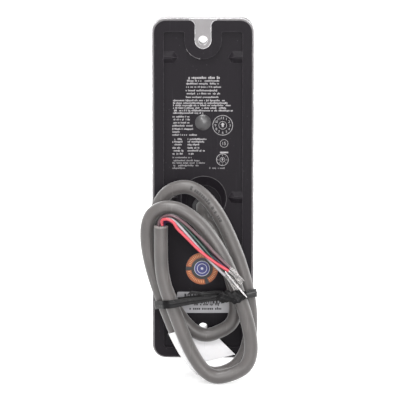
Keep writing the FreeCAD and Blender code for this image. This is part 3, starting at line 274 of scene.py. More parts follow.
# Painted highlights on edges of the plate, as lighter bands: the foot of the collar round the top slot,
# on its lower left, the full ring round the well's slope, and an arc where the slope meets the well.
# Each has its middle, inner and outer radius, arc in degrees, count of steps and depth.
EDGE_HIGHLIGHTS = {
    "collar_edge_highlight": ((0.0, 63.3), 7.82, 8.04, (208, 262), 40, PANEL_DEPTH),
    "well_slope_highlight": ((0.3, -3.8), 9.49, 9.67, (0, 360), 96, PANEL_DEPTH),
    "well_edge_highlight": ((0.3, -5.7), 7.38, 7.56, (-20, 95), 40, -2.8),
}

# Keys: how square their corners are, half their width, the depth of their face, the radius of its
# edge, the dish's depth and half width, then the side, flange and back as places across and in
# depth. The star is drawn larger than the numbers.
KEY_SQUARENESS = 5.0
KEY_HALF = 4.6
KEY_FACE = -14.6
KEY_EDGE = 0.45
KEY_DISH = 0.22
KEY_DISH_HALF = 3.9
KEY_BACK = [
    (KEY_HALF, -13.4), (KEY_HALF, -12.2), (KEY_HALF, -12.05), (5.0, -12.05), (5.05, -12.0), (5.05, -11.3),
    (5.0, -11.25), (3.0, -11.25), (0.0, -11.25),
]
DIGIT_SIZE = 5.4
STAR_SIZE = 1.7 * DIGIT_SIZE
KEY_SIGNS = {"key_star": "*", "key_hash": "#"}


# Meshes


def beside(*parts):
    """Numbers side by side along a new last axis, each repeated as far as the others reach."""
    return np.stack(np.broadcast_arrays(*parts), axis=-1)


def linear(red, green, blue):
    """A colour as a screen shows it, from 0 to 255, as the linear colour that a shader takes."""
    values = np.array([red, green, blue]) / 255
    low = values / 12.92
    high = ((values + 0.055) / 1.055) ** 2.4
    return tuple(float(v) for v in np.where(values <= 0.04045, low, high)) + (1.0,)


def linked(name, data):
    """A new object in the scene with the data as its own."""
    thing = bpy.data.objects.new(name, data)
    bpy.context.scene.collection.objects.link(thing)
    return thing


def add_mesh(name, points, faces, smooth=True):
    """A mesh object from points in millimetres. The faces may be an array or a list of lists."""
    mesh = bpy.data.meshes.new(name)
    faces = faces.tolist() if isinstance(faces, np.ndarray) else faces
    mesh.from_pydata((np.asarray(points, float).reshape(-1, 3) * MM).tolist(), [], faces)
    mesh.update()
    if smooth:
        mesh.shade_smooth()
    else:
        mesh.shade_flat()
    return linked(name, mesh)


def grid_faces(rows, columns, around=False, start=0):
    """Quads of a grid of rows by columns, whose columns may close into rings."""
    wide = columns if around else columns - 1
    row, column = np.meshgrid(np.arange(rows - 1) * columns, np.arange(wide), indexing="ij")
    after = (column + 1) % columns
    quads = beside(row + column, row + after, row + columns + after, row + columns + column)
    return quads.reshape(-1, 4) + start


def ring_faces(rows, columns):
    """Quads of a stack of rings, and a flat cap on each end."""
    first = np.arange(columns)
    last = first + (rows - 1) * columns
    return grid_faces(rows, columns, True).tolist() + [first[::-1].tolist(), last.tolist()]


def joined(shapes):
    """Several shapes as one, each its points or flat places and its faces."""
    points = []
    faces = []
    start = 0
    for places, corners in shapes:
        places = np.asarray(places, float)
        points.append(places.reshape(-1, places.shape[-1]))
        faces += [[int(corner) + start for corner in face] for face in corners]
        start += len(points[-1])
    return np.concatenate(points), faces


def unit(vectors):
    return vectors / np.maximum(np.linalg.norm(vectors, axis=-1, keepdims=True), 1e-12)


def squared(way, hint):
    """Square to the way: the direction nearest the hint, and the direction square to both."""
    out = unit(hint - (hint * way).sum(-1, keepdims=True) * way)
    return out, np.cross(way, out)


def finish_piece(piece, material, body=BODY):
    piece.data.materials.clear()
    piece.data.materials.append(material)
    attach(piece, body)
    return piece


# Camera, floor and lights


def look_from(place, aim):
    """The turn that points local -Z from the place to the aim, with local Y up."""
    return (Vector(aim) - Vector(place)).to_track_quat("-Z", "Y").to_euler()


def make_camera():
    data = bpy.data.cameras.new("camera")
    data.lens = CAMERA_LENS
    data.sensor_width = SENSOR
    data.clip_start = 0.05
    camera = linked("camera", data)
    camera.location = (0, CAMERA_DISTANCE * math.cos(CAMERA_RISE), CAMERA_DISTANCE * math.sin(CAMERA_RISE))
    camera.rotation_euler = look_from(camera.location, CAMERA_AIM)
    bpy.context.scene.camera = camera


def add(tree, kind, inputs=None, **settings):
    """A shader node with its settings, each input a value or another node's output."""
    node = tree.nodes.new(kind)
    for key, value in settings.items():
        setattr(node, key, value)
    for key, value in (inputs or {}).items():
        if isinstance(value, bpy.types.NodeSocket):
            tree.links.new(value, node.inputs[key])
        else:
            node.inputs[key].default_value = value
    return node


def seen_directly(tree):
    """One where a ray comes from the camera, from a mirror or through glass, and otherwise nought."""
    rays = add(tree, "ShaderNodeLightPath").outputs
    seen = larger(tree, rays["Is Camera Ray"], rays["Is Glossy Ray"])
    return larger(tree, seen, rays["Is Transmission Ray"])


def floor_material():
    material = bpy.data.materials.new("studio_floor")
    material.use_nodes = True
    tree = material.node_tree
    tree.nodes.clear()
    glow = times(tree, seen_directly(tree), STAGE_GLOW)
    diffuse = add(tree, "ShaderNodeBsdfDiffuse", {"Color": (0.6, 0.6, 0.6, 1)})
    light = add(tree, "ShaderNodeEmission", {"Color": (1, 1, 1, 1), "Strength": glow})
    both = add(tree, "ShaderNodeAddShader", {0: diffuse.outputs[0], 1: light.outputs[0]})
    add(tree, "ShaderNodeOutputMaterial", {"Surface": both.outputs[0]})
    return material


def make_stage():
    """A floor under the coil that sweeps up to a backdrop: level, a quarter of a circle, upright."""
    floor_z = CAD_BOX[0][2] - STAGE_GAP
    turn = np.linspace(0, math.pi / 2, 24)
    depth = np.concatenate([[STAGE_START], STAGE_END - STAGE_BEND * np.sin(turn), [STAGE_END - STAGE_BEND]])
    height = np.concatenate([[0.0], STAGE_BEND * (1 - np.cos(turn)), [STAGE_RISE]]) + floor_z
    left = beside(-STAGE_HALF_WIDTH, depth, height)
    right = left * (-1, 1, 1)
    stage = add_mesh("studio_floor", np.stack([left, right], axis=1) / MM, grid_faces(len(depth), 2))
    stage.data.materials.append(floor_material())


def area_light(name, place, aim, width, height, power):
    data = bpy.data.lights.new(name, "AREA")
    data.shape = "RECTANGLE"
    data.size = width
    data.size_y = height
    data.energy = power
    light = linked(name, data)
    light.location = place
    light.rotation_euler = look_from(place, aim)


def make_lights():
    for name, settings in LIGHTS.items():
        area_light(name, *settings)
    world = bpy.data.worlds.new("studio_world")
    world.use_nodes = True
    level = ramp(world.node_tree, seen_directly(world.node_tree), 0.0, 1.0, WORLD_LEVEL, 1.0)
    background = world.node_tree.nodes["Background"]
    background.inputs["Color"].default_value = (1, 1, 1, 1)
    world.node_tree.links.new(level, background.inputs["Strength"])
    bpy.context.scene.world = world
    bpy.context.scene.view_settings.view_transform = "Standard"


# Shader groups


def new_group(name, inputs, outputs):
    """A shader group of numbers: its tree, what it is given, its results and the place it shades."""
    tree = bpy.data.node_groups.new(name, "ShaderNodeTree")
    for label, value in inputs.items():
        socket = tree.interface.new_socket(label, in_out="INPUT", socket_type="NodeSocketFloat")
        socket.default_value = value
    for label in outputs:
        tree.interface.new_socket(label, in_out="OUTPUT", socket_type="NodeSocketFloat")
    place = add(tree, "ShaderNodeTexCoord").outputs["Object"]
    return tree, add(tree, "NodeGroupInput").outputs, add(tree, "NodeGroupOutput").inputs, place


def ramp(tree, value, low, high, start=0.0, end=1.0):
    limits = {"Value": value, "From Min": low, "From Max": high, "To Min": start, "To Max": end}
    return add(tree, "ShaderNodeMapRange", limits).outputs["Result"]


def times(tree, first, second):
    return add(tree, "ShaderNodeMath", {0: first, 1: second}, operation="MULTIPLY").outputs[0]


def larger(tree, first, second):
    return add(tree, "ShaderNodeMath", {0: first, 1: second}, operation="MAXIMUM").outputs[0]


def noise(tree, place, scale, detail, **more):
    inputs = {"Vector": place, "Scale": scale, "Detail": detail, **more}
    return add(tree, "ShaderNodeTexNoise", inputs).outputs["Fac"]


def grain_group():
    """Fine grain as a height, slow blotches from 0 to 1, and sparse round specks: the cells of a
    pattern whose colour is bright enough, near their middles."""
    inputs = {"Grain": 6000.0, "Blotch": 60.0}
    tree, given, result, place = new_group("fine_grain", inputs, ["Height", "Blotches", "Specks"])
    fine = noise(tree, place, given["Grain"], 3.0, Roughness=0.6)
    slow = noise(tree, place, given["Blotch"], 5.0, Roughness=0.6)
    cells = add(tree, "ShaderNodeTexVoronoi", {"Vector": place, "Scale": SPECK_CELLS})
    pick = add(tree, "ShaderNodeSeparateColor", {"Color": cells.outputs["Color"]})
    near = ramp(tree, cells.outputs["Distance"], 0.16, 0.08)
    chosen = ramp(tree, pick.outputs[0], 0.86, 0.9)
    tree.links.new(fine, result["Height"])
    tree.links.new(ramp(tree, slow, 0.32, 0.68), result["Blotches"])
    tree.links.new(times(tree, near, chosen), result["Specks"])
    return tree


def edge_group():
    """How much an edge is tinted, for wear and for painted highlight: where the normal rounded over the
    given radius leaves the true normal.
    """
    tree, given, result, place = new_group("edge_wear_and_highlight", {"Radius": 0.0003, "Amount": 1.0}, ["Worn"])
    rounded = add(tree, "ShaderNodeBevel", {"Radius": given["Radius"]}, samples=4)
    flat = add(tree, "ShaderNodeNewGeometry").outputs["True Normal"]
    match = add(tree, "ShaderNodeVectorMath", {0: rounded.outputs[0], 1: flat}, operation="DOT_PRODUCT")
    edge = ramp(tree, match.outputs["Value"], 0.994, 0.93)
    patchy_edge_tint = ramp(tree, noise(tree, place, 420.0, 3.0), 0.35, 0.6, 0.25, 1.0)
    tree.links.new(times(tree, times(tree, edge, patchy_edge_tint), given["Amount"]), result["Worn"])
    return tree


def scuff_group():
    """Fine scratches in two directions: noise stretched into thin streaks and cut off high."""
    tree, given, result, place = new_group("scuffs", {"Scale": 900.0, "Amount": 1.0}, ["Scratches"])
    found = []
    for turn in ((0.3, 0.5, 0.1), (0.2, -0.9, 0.4)):
        bent = add(tree, "ShaderNodeMapping", {"Vector": place, "Rotation": turn, "Scale": (1.0, 1.0, 0.03)})
        found.append(ramp(tree, noise(tree, bent.outputs[0], given["Scale"], 2.0), 0.66, 0.72))
    tree.links.new(times(tree, larger(tree, *found), given["Amount"]), result["Scratches"])
    return tree


GRAIN = grain_group()
EDGE_WEAR_AND_HIGHLIGHT = edge_group()
SCUFFS = scuff_group()


def tinted(tree, share, first, second):
    """Two colours mixed by a share."""
    node = add(tree, "ShaderNodeMix", data_type="RGBA")
    for label, kind, value in (("Factor", "VALUE", share), ("A", "RGBA", first), ("B", "RGBA", second)):
        socket = next(s for s in node.inputs if s.name == label and s.type == kind)
        if isinstance(value, bpy.types.NodeSocket):
            tree.links.new(value, socket)
        else:
            socket.default_value = value
    return next(s for s in node.outputs if s.type == "RGBA")


def group_outputs(tree, group, **inputs):
    return add(tree, "ShaderNodeGroup", inputs, node_tree=group).outputs


def surface(
    name, colour, second, roughness, metallic=0.0, grain=6000.0, depth=0.01, blotch=60.0,
    wear_and_highlight=None, wear_and_highlight_radius=0.3, wear_and_highlight_amount=1.0, specks=None, scratches=None, scratch_amount=0.3, **plain,
):
    """A finish: two colours in slow blotches, a roughness that wanders between two values, fine grain
    as bump in millimetres, and where asked edges tinted for wear and painted highlight, specks of dust and
    thin scratches."""
    material = bpy.data.materials.new(name)
    material.use_nodes = True
    tree = material.node_tree
    shader = tree.nodes["Principled BSDF"]
    texture = group_outputs(tree, GRAIN, Grain=grain, Blotch=blotch)
    base = tinted(tree, texture["Blotches"], linear(*colour), linear(*second))
    if specks:
        base = tinted(tree, times(tree, texture["Specks"], SPECK_STRENGTH), base, linear(*specks))
    if scratches:
        lines = group_outputs(tree, SCUFFS, Amount=scratch_amount)
        base = tinted(tree, lines["Scratches"], base, linear(*scratches))
    # Edge tint: wear, and on the plate and the cover also a painted highlight.
    if wear_and_highlight:
        edges = group_outputs(tree, EDGE_WEAR_AND_HIGHLIGHT, Radius=wear_and_highlight_radius * MM, Amount=wear_and_highlight_amount)
        base = tinted(tree, edges["Worn"], base, linear(*wear_and_highlight))
    tree.links.new(base, shader.inputs["Base Color"])
    tree.links.new(ramp(tree, texture["Blotches"], 0.0, 1.0, *roughness), shader.inputs["Roughness"])
    bump = add(tree, "ShaderNodeBump", {"Height": texture["Height"], "Distance": depth * MM})
    tree.links.new(bump.outputs[0], shader.inputs["Normal"])
    shader.inputs["Metallic"].default_value = metallic
    for key, value in plain.items():
        shader.inputs[key.replace("_", " ")].default_value = value
    return material


# The cable and its cores


def coil_point(across, along, depth):
    x = COIL_X - across * math.cos(COIL_LEAN) - along * math.sin(COIL_LEAN)
    z = COIL_Z + across * math.sin(COIL_LEAN) - along * math.cos(COIL_LEAN)
    return (x, depth, z)


def coil_place(points):
    """Across and along the leaning axis, of points in millimetres."""
    dx = points[:, 0] - COIL_X
    dz = points[:, 2] - COIL_Z
    across = dz * math.sin(COIL_LEAN) - dx * math.cos(COIL_LEAN)
    along = -dx * math.sin(COIL_LEAN) - dz * math.cos(COIL_LEAN)
    return across, along


def quarter_turn(side, end, squareness, onwards):
    """A quarter of a superellipse from a turn's side to its end: across falls as cos(t) and along grows
    as sin(t), both to the power of two over the squareness. The depth is level at the side and steepest
    at the end."""
    points = []
    for step in range(QUARTER_POINTS):
        angle = math.pi / 2 * step / QUARTER_POINTS
        fall = math.cos(angle) ** (2 / squareness)
        grow = math.sin(angle) ** (2 / squareness)
        across = end[0] + (side[0] - end[0]) * fall
        along = side[1] + (end[1] - side[1]) * grow
        depth = side[2] + (end[2] - side[2]) * (1 - math.cos(angle))
        points.append(coil_point(across, along, depth))
    points.append(coil_point(*end))
    return points if onwards else points[::-1]


def cable_points():
    points = list(EXIT_POINTS)
    for side, end, squareness, onwards in QUARTERS:
        turn = quarter_turn(side, end, squareness, onwards)
        points += turn if onwards else turn[1:]
    return points + END_POINTS


def smooth_cord(name, points, diameter, rings):
    """A round cord on one open NURBS spline, its control points in millimetres."""
    data = bpy.data.curves.new(name, "CURVE")
    data.dimensions = "3D"
    spline = data.splines.new("NURBS")
    spline.points.add(len(points) - 1)
    for control, place in zip(spline.points, points):
        control.co = (place[0] * MM, place[1] * MM, place[2] * MM, 1)
    spline.order_u = 3
    spline.use_endpoint_u = True
    data.resolution_u = 6
    data.bevel_depth = diameter / 2 * MM
    data.bevel_resolution = rings
    data.use_fill_caps = True
    return linked(name, data)


def spline_line(cord):
    """The points in millimetres that a cord's own spline gives."""
    bare = bpy.data.objects.new("bare_line", cord.data.copy())
    bare.data.bevel_depth = 0
    mesh = bpy.data.meshes.new_from_object(bare)
    line = np.zeros(len(mesh.vertices) * 3)
    mesh.vertices.foreach_get("co", line)
    bpy.data.meshes.remove(mesh)
    bpy.data.curves.remove(bare.data)
    return line.reshape(-1, 3) / MM


def length_along(line):
    return np.concatenate([[0], np.cumsum(np.linalg.norm(np.diff(line, axis=0), axis=1))])


def drawn_between(places, known, points):
    """Points at the places, on straight lines between the points at the known places."""
    return beside(*(np.interp(places, known, column) for column in points.T))


def points_at(line, places):
    """Points of a line at distances along it."""
    return drawn_between(places, length_along(line), line)


def strand(path, radius):
    """A thin round strand along a path, narrower at its ends and closed there."""
    turn = np.linspace(0, 2 * math.pi, STRAND_SIDES, endpoint=False)
    size = np.full(len(path), radius)
    size[0] *= 0.8
    size[-1] *= 0.55
    out, side = squared(unit(np.gradient(path, axis=0)), STRAND_HINT)
    ring = side[:, None] * np.cos(turn)[:, None] + out[:, None] * np.sin(turn)[:, None]
    points = path[:, None] + size[:, None, None] * ring
    return points.reshape(-1, 3), ring_faces(len(path), STRAND_SIDES)


def twisted_strands(path, count, ring_radius, strand_radius, pitch, flare, seed):
    """Strands wound round a path, and one on it: each is the path plus a ring radius that opens
    towards the tip, turned by the distance along it over the pitch."""
    rng = np.random.default_rng(seed)
    along = length_along(path)
    out, side = squared(unit(np.gradient(path, axis=0)), STRAND_HINT)
    blocks = []
    for number in range(count):
        spread = ring_radius + flare * rng.uniform(0.3, 1.0) * (along / along[-1]) ** 2
        turn = 2 * math.pi * (number / count + along / pitch) + rng.uniform(-0.3, 0.3)
        wound = path + side * (spread * np.cos(turn))[:, None] + out * (spread * np.sin(turn))[:, None]
        keep = len(path) - rng.integers(0, max(2, len(path) // 7))
        blocks.append(strand(wound[:keep], strand_radius))
    return blocks + [strand(path, strand_radius)]


def make_cable():
    cable = smooth_cord("cable", cable_points(), CABLE_DIAMETER, 7)
    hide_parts("cable_coil")
    jacket = surface(
        "cable_jacket", (82, 78, 77), (73, 70, 69), (0.34, 0.46), grain=2600, depth=0.012,
        blotch=110, specks=(58, 54, 53), scratches=(142, 139, 137), scratch_amount=0.14,
        Sheen_Weight=0.35, Sheen_Roughness=0.45,
    )
    finish_piece(cable, jacket)
    return cable


def make_wires():
    wires = {}
    for number, name in enumerate(WIRES):
        wire = smooth_cord("core_" + name, WIRE_ROUTES[name], WIRE_DIAMETER, 4)
        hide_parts("wire_" + name)
        colour = WIRES[name][1]
        darker = tuple(0.88 * value for value in colour)
        sleeve = surface(
            "sleeve_" + name, colour, darker, (0.26, 0.36), grain=4000, depth=0.006,
            blotch=200.0 + 20 * number,
        )
        finish_piece(wire, sleeve)
        wires[name] = wire
    return wires


def tinned_wire(name, colour, second):
    return surface(name, colour, second, (0.2, 0.34), metallic=1.0, grain=5000, blotch=700)


def make_wire_ends(lines):
    """The stripped ends of the six cores, fine strands that open a little towards the tip and sag."""
    blocks = []
    for number, line in enumerate(lines.values()):
        way = unit(line[-1] - line[-3])
        sag = np.array([0.5, -0.3, -1.5 + 0.35 * (number % 3 - 1)])
        share = np.linspace(0, 1, 22)[:, None]
        path = line[-1] - way * TIP_ROOT + way * (TIP_LENGTH + TIP_ROOT) * share + sag * share ** 2
        blocks += twisted_strands(
            path, count=11, ring_radius=0.4, strand_radius=0.1, pitch=24.0, flare=0.75, seed=number,
        )
    ends = add_mesh("core_ends", *joined(blocks))
    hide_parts("wire_tips")
    tinned = tinned_wire("tinned_strands", (188, 185, 184), (128, 126, 125))
    return finish_piece(ends, tinned)


def make_drain_wire():
    """The long bare wire: four strands twisted round a fifth along a gentle arc."""
    route = smooth_cord("drain_route", DRAIN_ROUTE, 0.9, 3)
    line = spline_line(route)
    bpy.data.curves.remove(route.data)
    path = points_at(line, np.linspace(0, length_along(line)[-1], 70))
    blocks = twisted_strands(
        path, count=4, ring_radius=0.19, strand_radius=0.17, pitch=5.0, flare=0.02, seed=31,
    )
    drain = add_mesh("bare_drain_wire", *joined(blocks))
    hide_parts("drain_wire")
    return finish_piece(drain, tinned_wire("tinned_drain", (206, 204, 204), (162, 160, 160)))


def make_jacket_lip():
    """The cut end of the jacket: a ring with a slightly ragged rim round the filler."""
    turn = np.linspace(0, 2 * math.pi, 64, endpoint=False)
    ragged = 0.10 * np.sin(3 * turn) + 0.06 * np.sin(7 * turn + 1) + 0.04 * np.sin(13 * turn)
    radius, height, share = np.array(LIP_OUTLINE).T[..., None]
    points = beside(radius * np.cos(turn), radius * np.sin(turn), height + ragged * share) + JACKET_END
    lip = add_mesh("jacket_end", points, grid_faces(len(LIP_OUTLINE), len(turn), True))
    end = surface(
        "jacket_cut", (128, 122, 120), (104, 98, 97), (0.5, 0.62), grain=3000, depth=0.03, blotch=700,
    )
    return finish_piece(lip, end)


# Print


def print_blocks(left, right, height, seed, blank=0.17):
    """A row of small print as blocks of [from, to, foot, head]: widths drawn at random and added up,
    with a gap in place of a share of them, and some heads higher and some feet lower."""
    rng = np.random.default_rng(seed)
    count = int((right - left) / (0.42 * height)) + 4
    wide = height * rng.uniform(0.34, 0.6, count)
    start = left + np.concatenate([[0], np.cumsum(wide + 0.14 * height)[:-1]])
    shown = (rng.random(count) > blank) & (start + wide < right)
    head = height * np.where(rng.random(count) < 0.3, 1.0, 0.7)
    foot = height * np.where(rng.random(count) < 0.12, -0.22, 0.0)
    return beside(start, start + wide, foot, head)[shown]


def block_quads(blocks, v=0.0):
    """Corner places of blocks moved up by v, counter-clockwise."""
    left, right, foot, head = blocks.T
    corners = [(left, foot), (right, foot), (right, head), (left, head)]
    return np.stack([beside(a, b + v) for a, b in corners], axis=1)


def quad_shape(quads):
    """Lists of quads as one shape."""
    quads = np.concatenate(quads)
    return quads, np.arange(len(quads) * 4).reshape(-1, 4)


def printed(name, shapes, depth, material):
    """Flat shapes as one piece at a depth, placed as the viewer behind the reader sees them: to the
    right of the middle, which is against x, and up."""
    places, faces = joined(shapes)
    points = beside(-places[:, 0], depth, places[:, 1])
    return finish_piece(add_mesh(name, points, faces, smooth=False), material)


def ring_band(centre, inner, outer, start=0.0, end=2 * math.pi, steps=96):
    """A flat band between two circles, as places and quads."""
    turn = np.linspace(start, end, steps + 1)
    circle = beside(np.cos(turn), np.sin(turn))
    places = np.stack([centre + circle * inner, centre + circle * outer], axis=1).reshape(-1, 2)
    return places, grid_faces(steps + 1, 2)[:, [2, 1, 0, 3]]


def sign_shape(text, size):
    """A digit or sign as places and faces, centred on its own middle."""
    data = bpy.data.curves.new("sign", "FONT")
    data.body = text
    data.size = size
    holder = bpy.data.objects.new("sign", data)
    mesh = bpy.data.meshes.new_from_object(holder)
    places = np.zeros(len(mesh.vertices) * 3)
    mesh.vertices.foreach_get("co", places)
    places = places.reshape(-1, 3)[:, :2]
    faces = [list(polygon.vertices) for polygon in mesh.polygons]
    bpy.data.meshes.remove(mesh)
    bpy.data.curves.remove(data)
    return places - (places.min(0) + places.max(0)) / 2, faces


def number_dial(x, z, radius, numbers):
    """A plain dial: two ring lines, its numbers between them, and an arrow in the middle."""
    centre = np.array([-x, z])
    figure = radius * 0.36
    arrow = radius * 0.6
    shapes = [ring_band(centre, radius - 0.22, radius), ring_band(centre, figure, figure + 0.18)]
    for place, number in enumerate(numbers):
        turn = math.pi / 2 - 2 * math.pi * (place + 1) / len(numbers)
        places, faces = sign_shape(str(number), figure)
        shapes.append((places + centre + radius * 0.72 * np.array([math.cos(turn), math.sin(turn)]), faces))
    shaft = np.array([[-0.16, -0.3], [0.16, -0.3], [0.16, 0.1], [-0.16, 0.1]]) * arrow
    head = np.array([[-0.36, 0.1], [0.36, 0.1], [0.0, 0.46]]) * arrow
    return shapes + [(shaft + centre, [[0, 1, 2, 3]]), (head + centre, [[0, 1, 2]])]


def print_rows(rows, sizes, seed):
    """Rows of blocks at their heights, each with its own seed counted up from the first."""
    return quad_shape([
        block_quads(print_blocks(-left, -right, size, seed + number), height - size * 0.4)
        for number, ((left, right, height), size) in enumerate(zip(rows, sizes))
    ])


def make_back_print():
    """Small print as rows of blocks, two plain number dials, a ringed number and a short bar."""
    sizes = [TOP_ROW_HEIGHT] + [PRINT_HEIGHT] * (len(PRINT_ROWS) - 1)
    number, faces = sign_shape("15", RINGED_SIZE)
    shapes = [
        print_rows(PRINT_ROWS, sizes, PRINT_SEED),
        *number_dial(*MONTH_DIAL, range(1, 13)),
        *number_dial(*YEAR_DIAL, range(1, 9)),
        quad_shape([block_quads(np.array([SHORT_BAR]))]),
        (number + RINGED_PLACE, faces),
        ring_band(RINGED_PLACE, *RINGED_RADII),
    ]
    ink = surface("print_ink", (152, 149, 151), (122, 120, 122), (0.5, 0.6), depth=0.004, blotch=900)
    printed("back_print", shapes, PANEL_DEPTH + PRINT_LIFT, ink)
    fine = print_rows(FINE_ROWS, [FINE_HEIGHT] * len(FINE_ROWS), PRINT_SEED + len(PRINT_ROWS))
    thin = surface("thin_ink", (118, 115, 118), (92, 90, 92), (0.5, 0.6), depth=0.004, blotch=900)
    printed("fine_print", [fine], PANEL_DEPTH + PRINT_LIFT, thin)


def make_label_print():
    """Upright bars of uneven width and two rows of blocks on the white label."""
    rng = np.random.default_rng(LABEL_SEED)
    widths = rng.choice([0.42, 0.42, 0.84], LABEL_BAR_COUNT)
    gaps = rng.choice([0.42, 0.5], LABEL_BAR_COUNT)
    first, last, foot, head = LABEL_BARS
    start = first + np.concatenate([[0], np.cumsum(widths + gaps)[:-1]])
    bars = beside(start, start + widths, foot, head)
    quads = [block_quads(bars[bars[:, 1] < last])]
    for left, right, size, seed, height in LABEL_ROWS:
        quads.append(block_quads(print_blocks(left, right, size, seed), height))
    ink = surface("label_ink", (18, 17, 19), (30, 28, 31), (0.45, 0.55), depth=0.004, blotch=900)
    printed("label_print", [quad_shape(quads)], STICKER_FACE + PRINT_LIFT, ink)


def make_seal_print():
    """The round seal's print: an orange band in three arcs with fine ticks on it, and a blue disc
    with white rings and a white dot."""
    band = [ring_band(SEAL_PLACE, *SEAL_BAND, *arc, 40) for arc in SEAL_ARCS]
    ticks = [
        ring_band(SEAL_PLACE, *SEAL_TICKS, turn, turn + 0.035, 1)
        for start, end in SEAL_ARCS
        for turn in np.arange(start + 0.08, end - 0.05, 0.13)
    ]
    disc = [ring_band(SEAL_PLACE, *SEAL_DISC)]
    rings = [ring_band(SEAL_PLACE, *radii) for radii in SEAL_RINGS]
    orange = surface("seal_orange", (166, 88, 40), (142, 70, 34), (0.3, 0.42), depth=0.006, blotch=500)
    pale = surface("seal_tick_ink", (226, 168, 118), (210, 150, 100), (0.3, 0.4), depth=0.004)
    blue = surface("seal_blue", (58, 62, 128), (48, 50, 112), (0.28, 0.4), depth=0.006, blotch=500)
    white = surface("seal_white", (205, 206, 216), (190, 190, 204), (0.3, 0.4), depth=0.004)
    for name, shapes, lift, ink in (
        ("seal_band", band, PRINT_LIFT, orange),
        ("seal_ticks", ticks, UPPER_LIFT, pale),
        ("seal_disc", disc, PRINT_LIFT, blue),
        ("seal_rings", rings, UPPER_LIFT, white),
    ):
        printed(name, shapes, STICKER_FACE + lift, ink)


def make_shiny_edges():
    """The plate's painted highlights as thin flat bands: a bright one at the collar's foot, dim ones round
    the well.
    """
    # Painted highlight: the collar's foot where it catches the light.
    collar_highlight = surface(
        "painted_collar_highlight", (168, 164, 166), (70, 67, 70), (0.3, 0.4), depth=0.006, blotch=420,
    )
    # Painted highlight: dim light lines round the well's slope and edge.
    patchy_edge_tint = surface("painted_well_highlight", (68, 65, 68), (44, 42, 44), (0.4, 0.5), depth=0.006, blotch=260)
    for name, (middle, inner, outer, (start, end), steps, depth) in EDGE_HIGHLIGHTS.items():
        band = ring_band(middle, inner, outer, math.radians(start), math.radians(end), steps)
        finish = collar_highlight if name == "collar_edge_highlight" else patchy_edge_tint
        printed(name, [band], depth + PRINT_LIFT, finish)


def make_cable_print(line):
    """Blocks of print on the jacket's outer side, each bent round it in three quads: along the
    cable's middle line, and round it by their height over the radius."""
    nearer, further = CABLE_PRINT_DEPTHS
    turn_start = np.argmax((line[:, 1] > nearer) & (line[:, 1] < further))
    start = length_along(line)[turn_start] + CABLE_PRINT_START
    blocks = print_blocks(0, CABLE_PRINT_LENGTH, CABLE_PRINT_HEIGHT, CABLE_PRINT_SEED, 0.1)
    radius = CABLE_DIAMETER / 2 + CABLE_PRINT_LIFT
    lift = np.linspace(0, 1, 4)
    along = blocks[:, None, :2] + start
    up = (blocks[:, 2, None] + (blocks[:, 3] - blocks[:, 2])[:, None] * lift)[:, :, None]
    along, up = np.broadcast_arrays(along, up)
    middle = points_at(line, along.ravel())
    way = unit(points_at(line, along.ravel() + 0.2) - middle)
    out, side = squared(way, CABLE_PRINT_SIDE)
    angle = (up.ravel() - CABLE_PRINT_ROUND) / radius
    points = middle + radius * (out * np.cos(angle)[:, None] - side * np.sin(angle)[:, None])
    base = (np.arange(len(blocks)) * 8)[:, None, None]
    quads = base + np.array([[0, 1, 3, 2], [2, 3, 5, 4], [4, 5, 7, 6]])[None]
    marks = add_mesh("cable_print", points, quads.reshape(-1, 4))
    ink = surface("cable_ink", (34, 31, 31), (44, 41, 41), (0.45, 0.55), depth=0.004, blotch=600)
    return finish_piece(marks, ink)


# Twist tie and paper flag


TIE_ACROSS = np.array([-math.cos(TIE_LEAN), 0.0, math.sin(TIE_LEAN)])
TIE_UPRIGHT = np.array([math.sin(TIE_LEAN), 0.0, math.cos(TIE_LEAN)])
OUT = np.array([0.0, 1.0, 0.0])
TIE_DEEP = OUT * math.cos(TIE_TILT) + TIE_UPRIGHT * math.sin(TIE_TILT)
TIE_WIDE = TIE_UPRIGHT * math.cos(TIE_TILT) - OUT * math.sin(TIE_TILT)
TIE_AXES = np.array([TIE_ACROSS, TIE_DEEP, TIE_WIDE])


def tie_places(across, depth, wide):
    """Points from their place across the coil, their depth and their place over the tie's width."""
    return TIE_FRONT + beside(across, depth - TIE_FRONT[1], wide) @ TIE_AXES


def tie_ring(line):
    """The tie's loop round the strands it holds: in each direction the strand that stands furthest
    out, plus the reach from the strand's middle to the tie's, at even steps along the loop."""
    found = []
    for edge in (-TIE_HALF_WIDTH, TIE_HALF_WIDTH):
        side = (line - TIE_FRONT) @ TIE_WIDE - edge
        crossing = np.nonzero(side[:-1] * side[1:] < 0)[0]
        share = side[crossing] / (side[crossing] - side[crossing + 1])
        point = line[crossing] + (line[crossing + 1] - line[crossing]) * share[:, None] - TIE_FRONT
        found.append(beside(point @ TIE_ACROSS, point @ TIE_DEEP + TIE_FRONT[1]))
    found = np.concatenate(found)
    turn = np.linspace(0, 2 * math.pi, 721)
    ways = beside(np.cos(turn), np.sin(turn))
    loop = found[np.argmax(ways @ found.T, axis=1)] + ways * TIE_REACH
    return points_at(loop, np.linspace(0, length_along(loop)[-1], 260, endpoint=False))


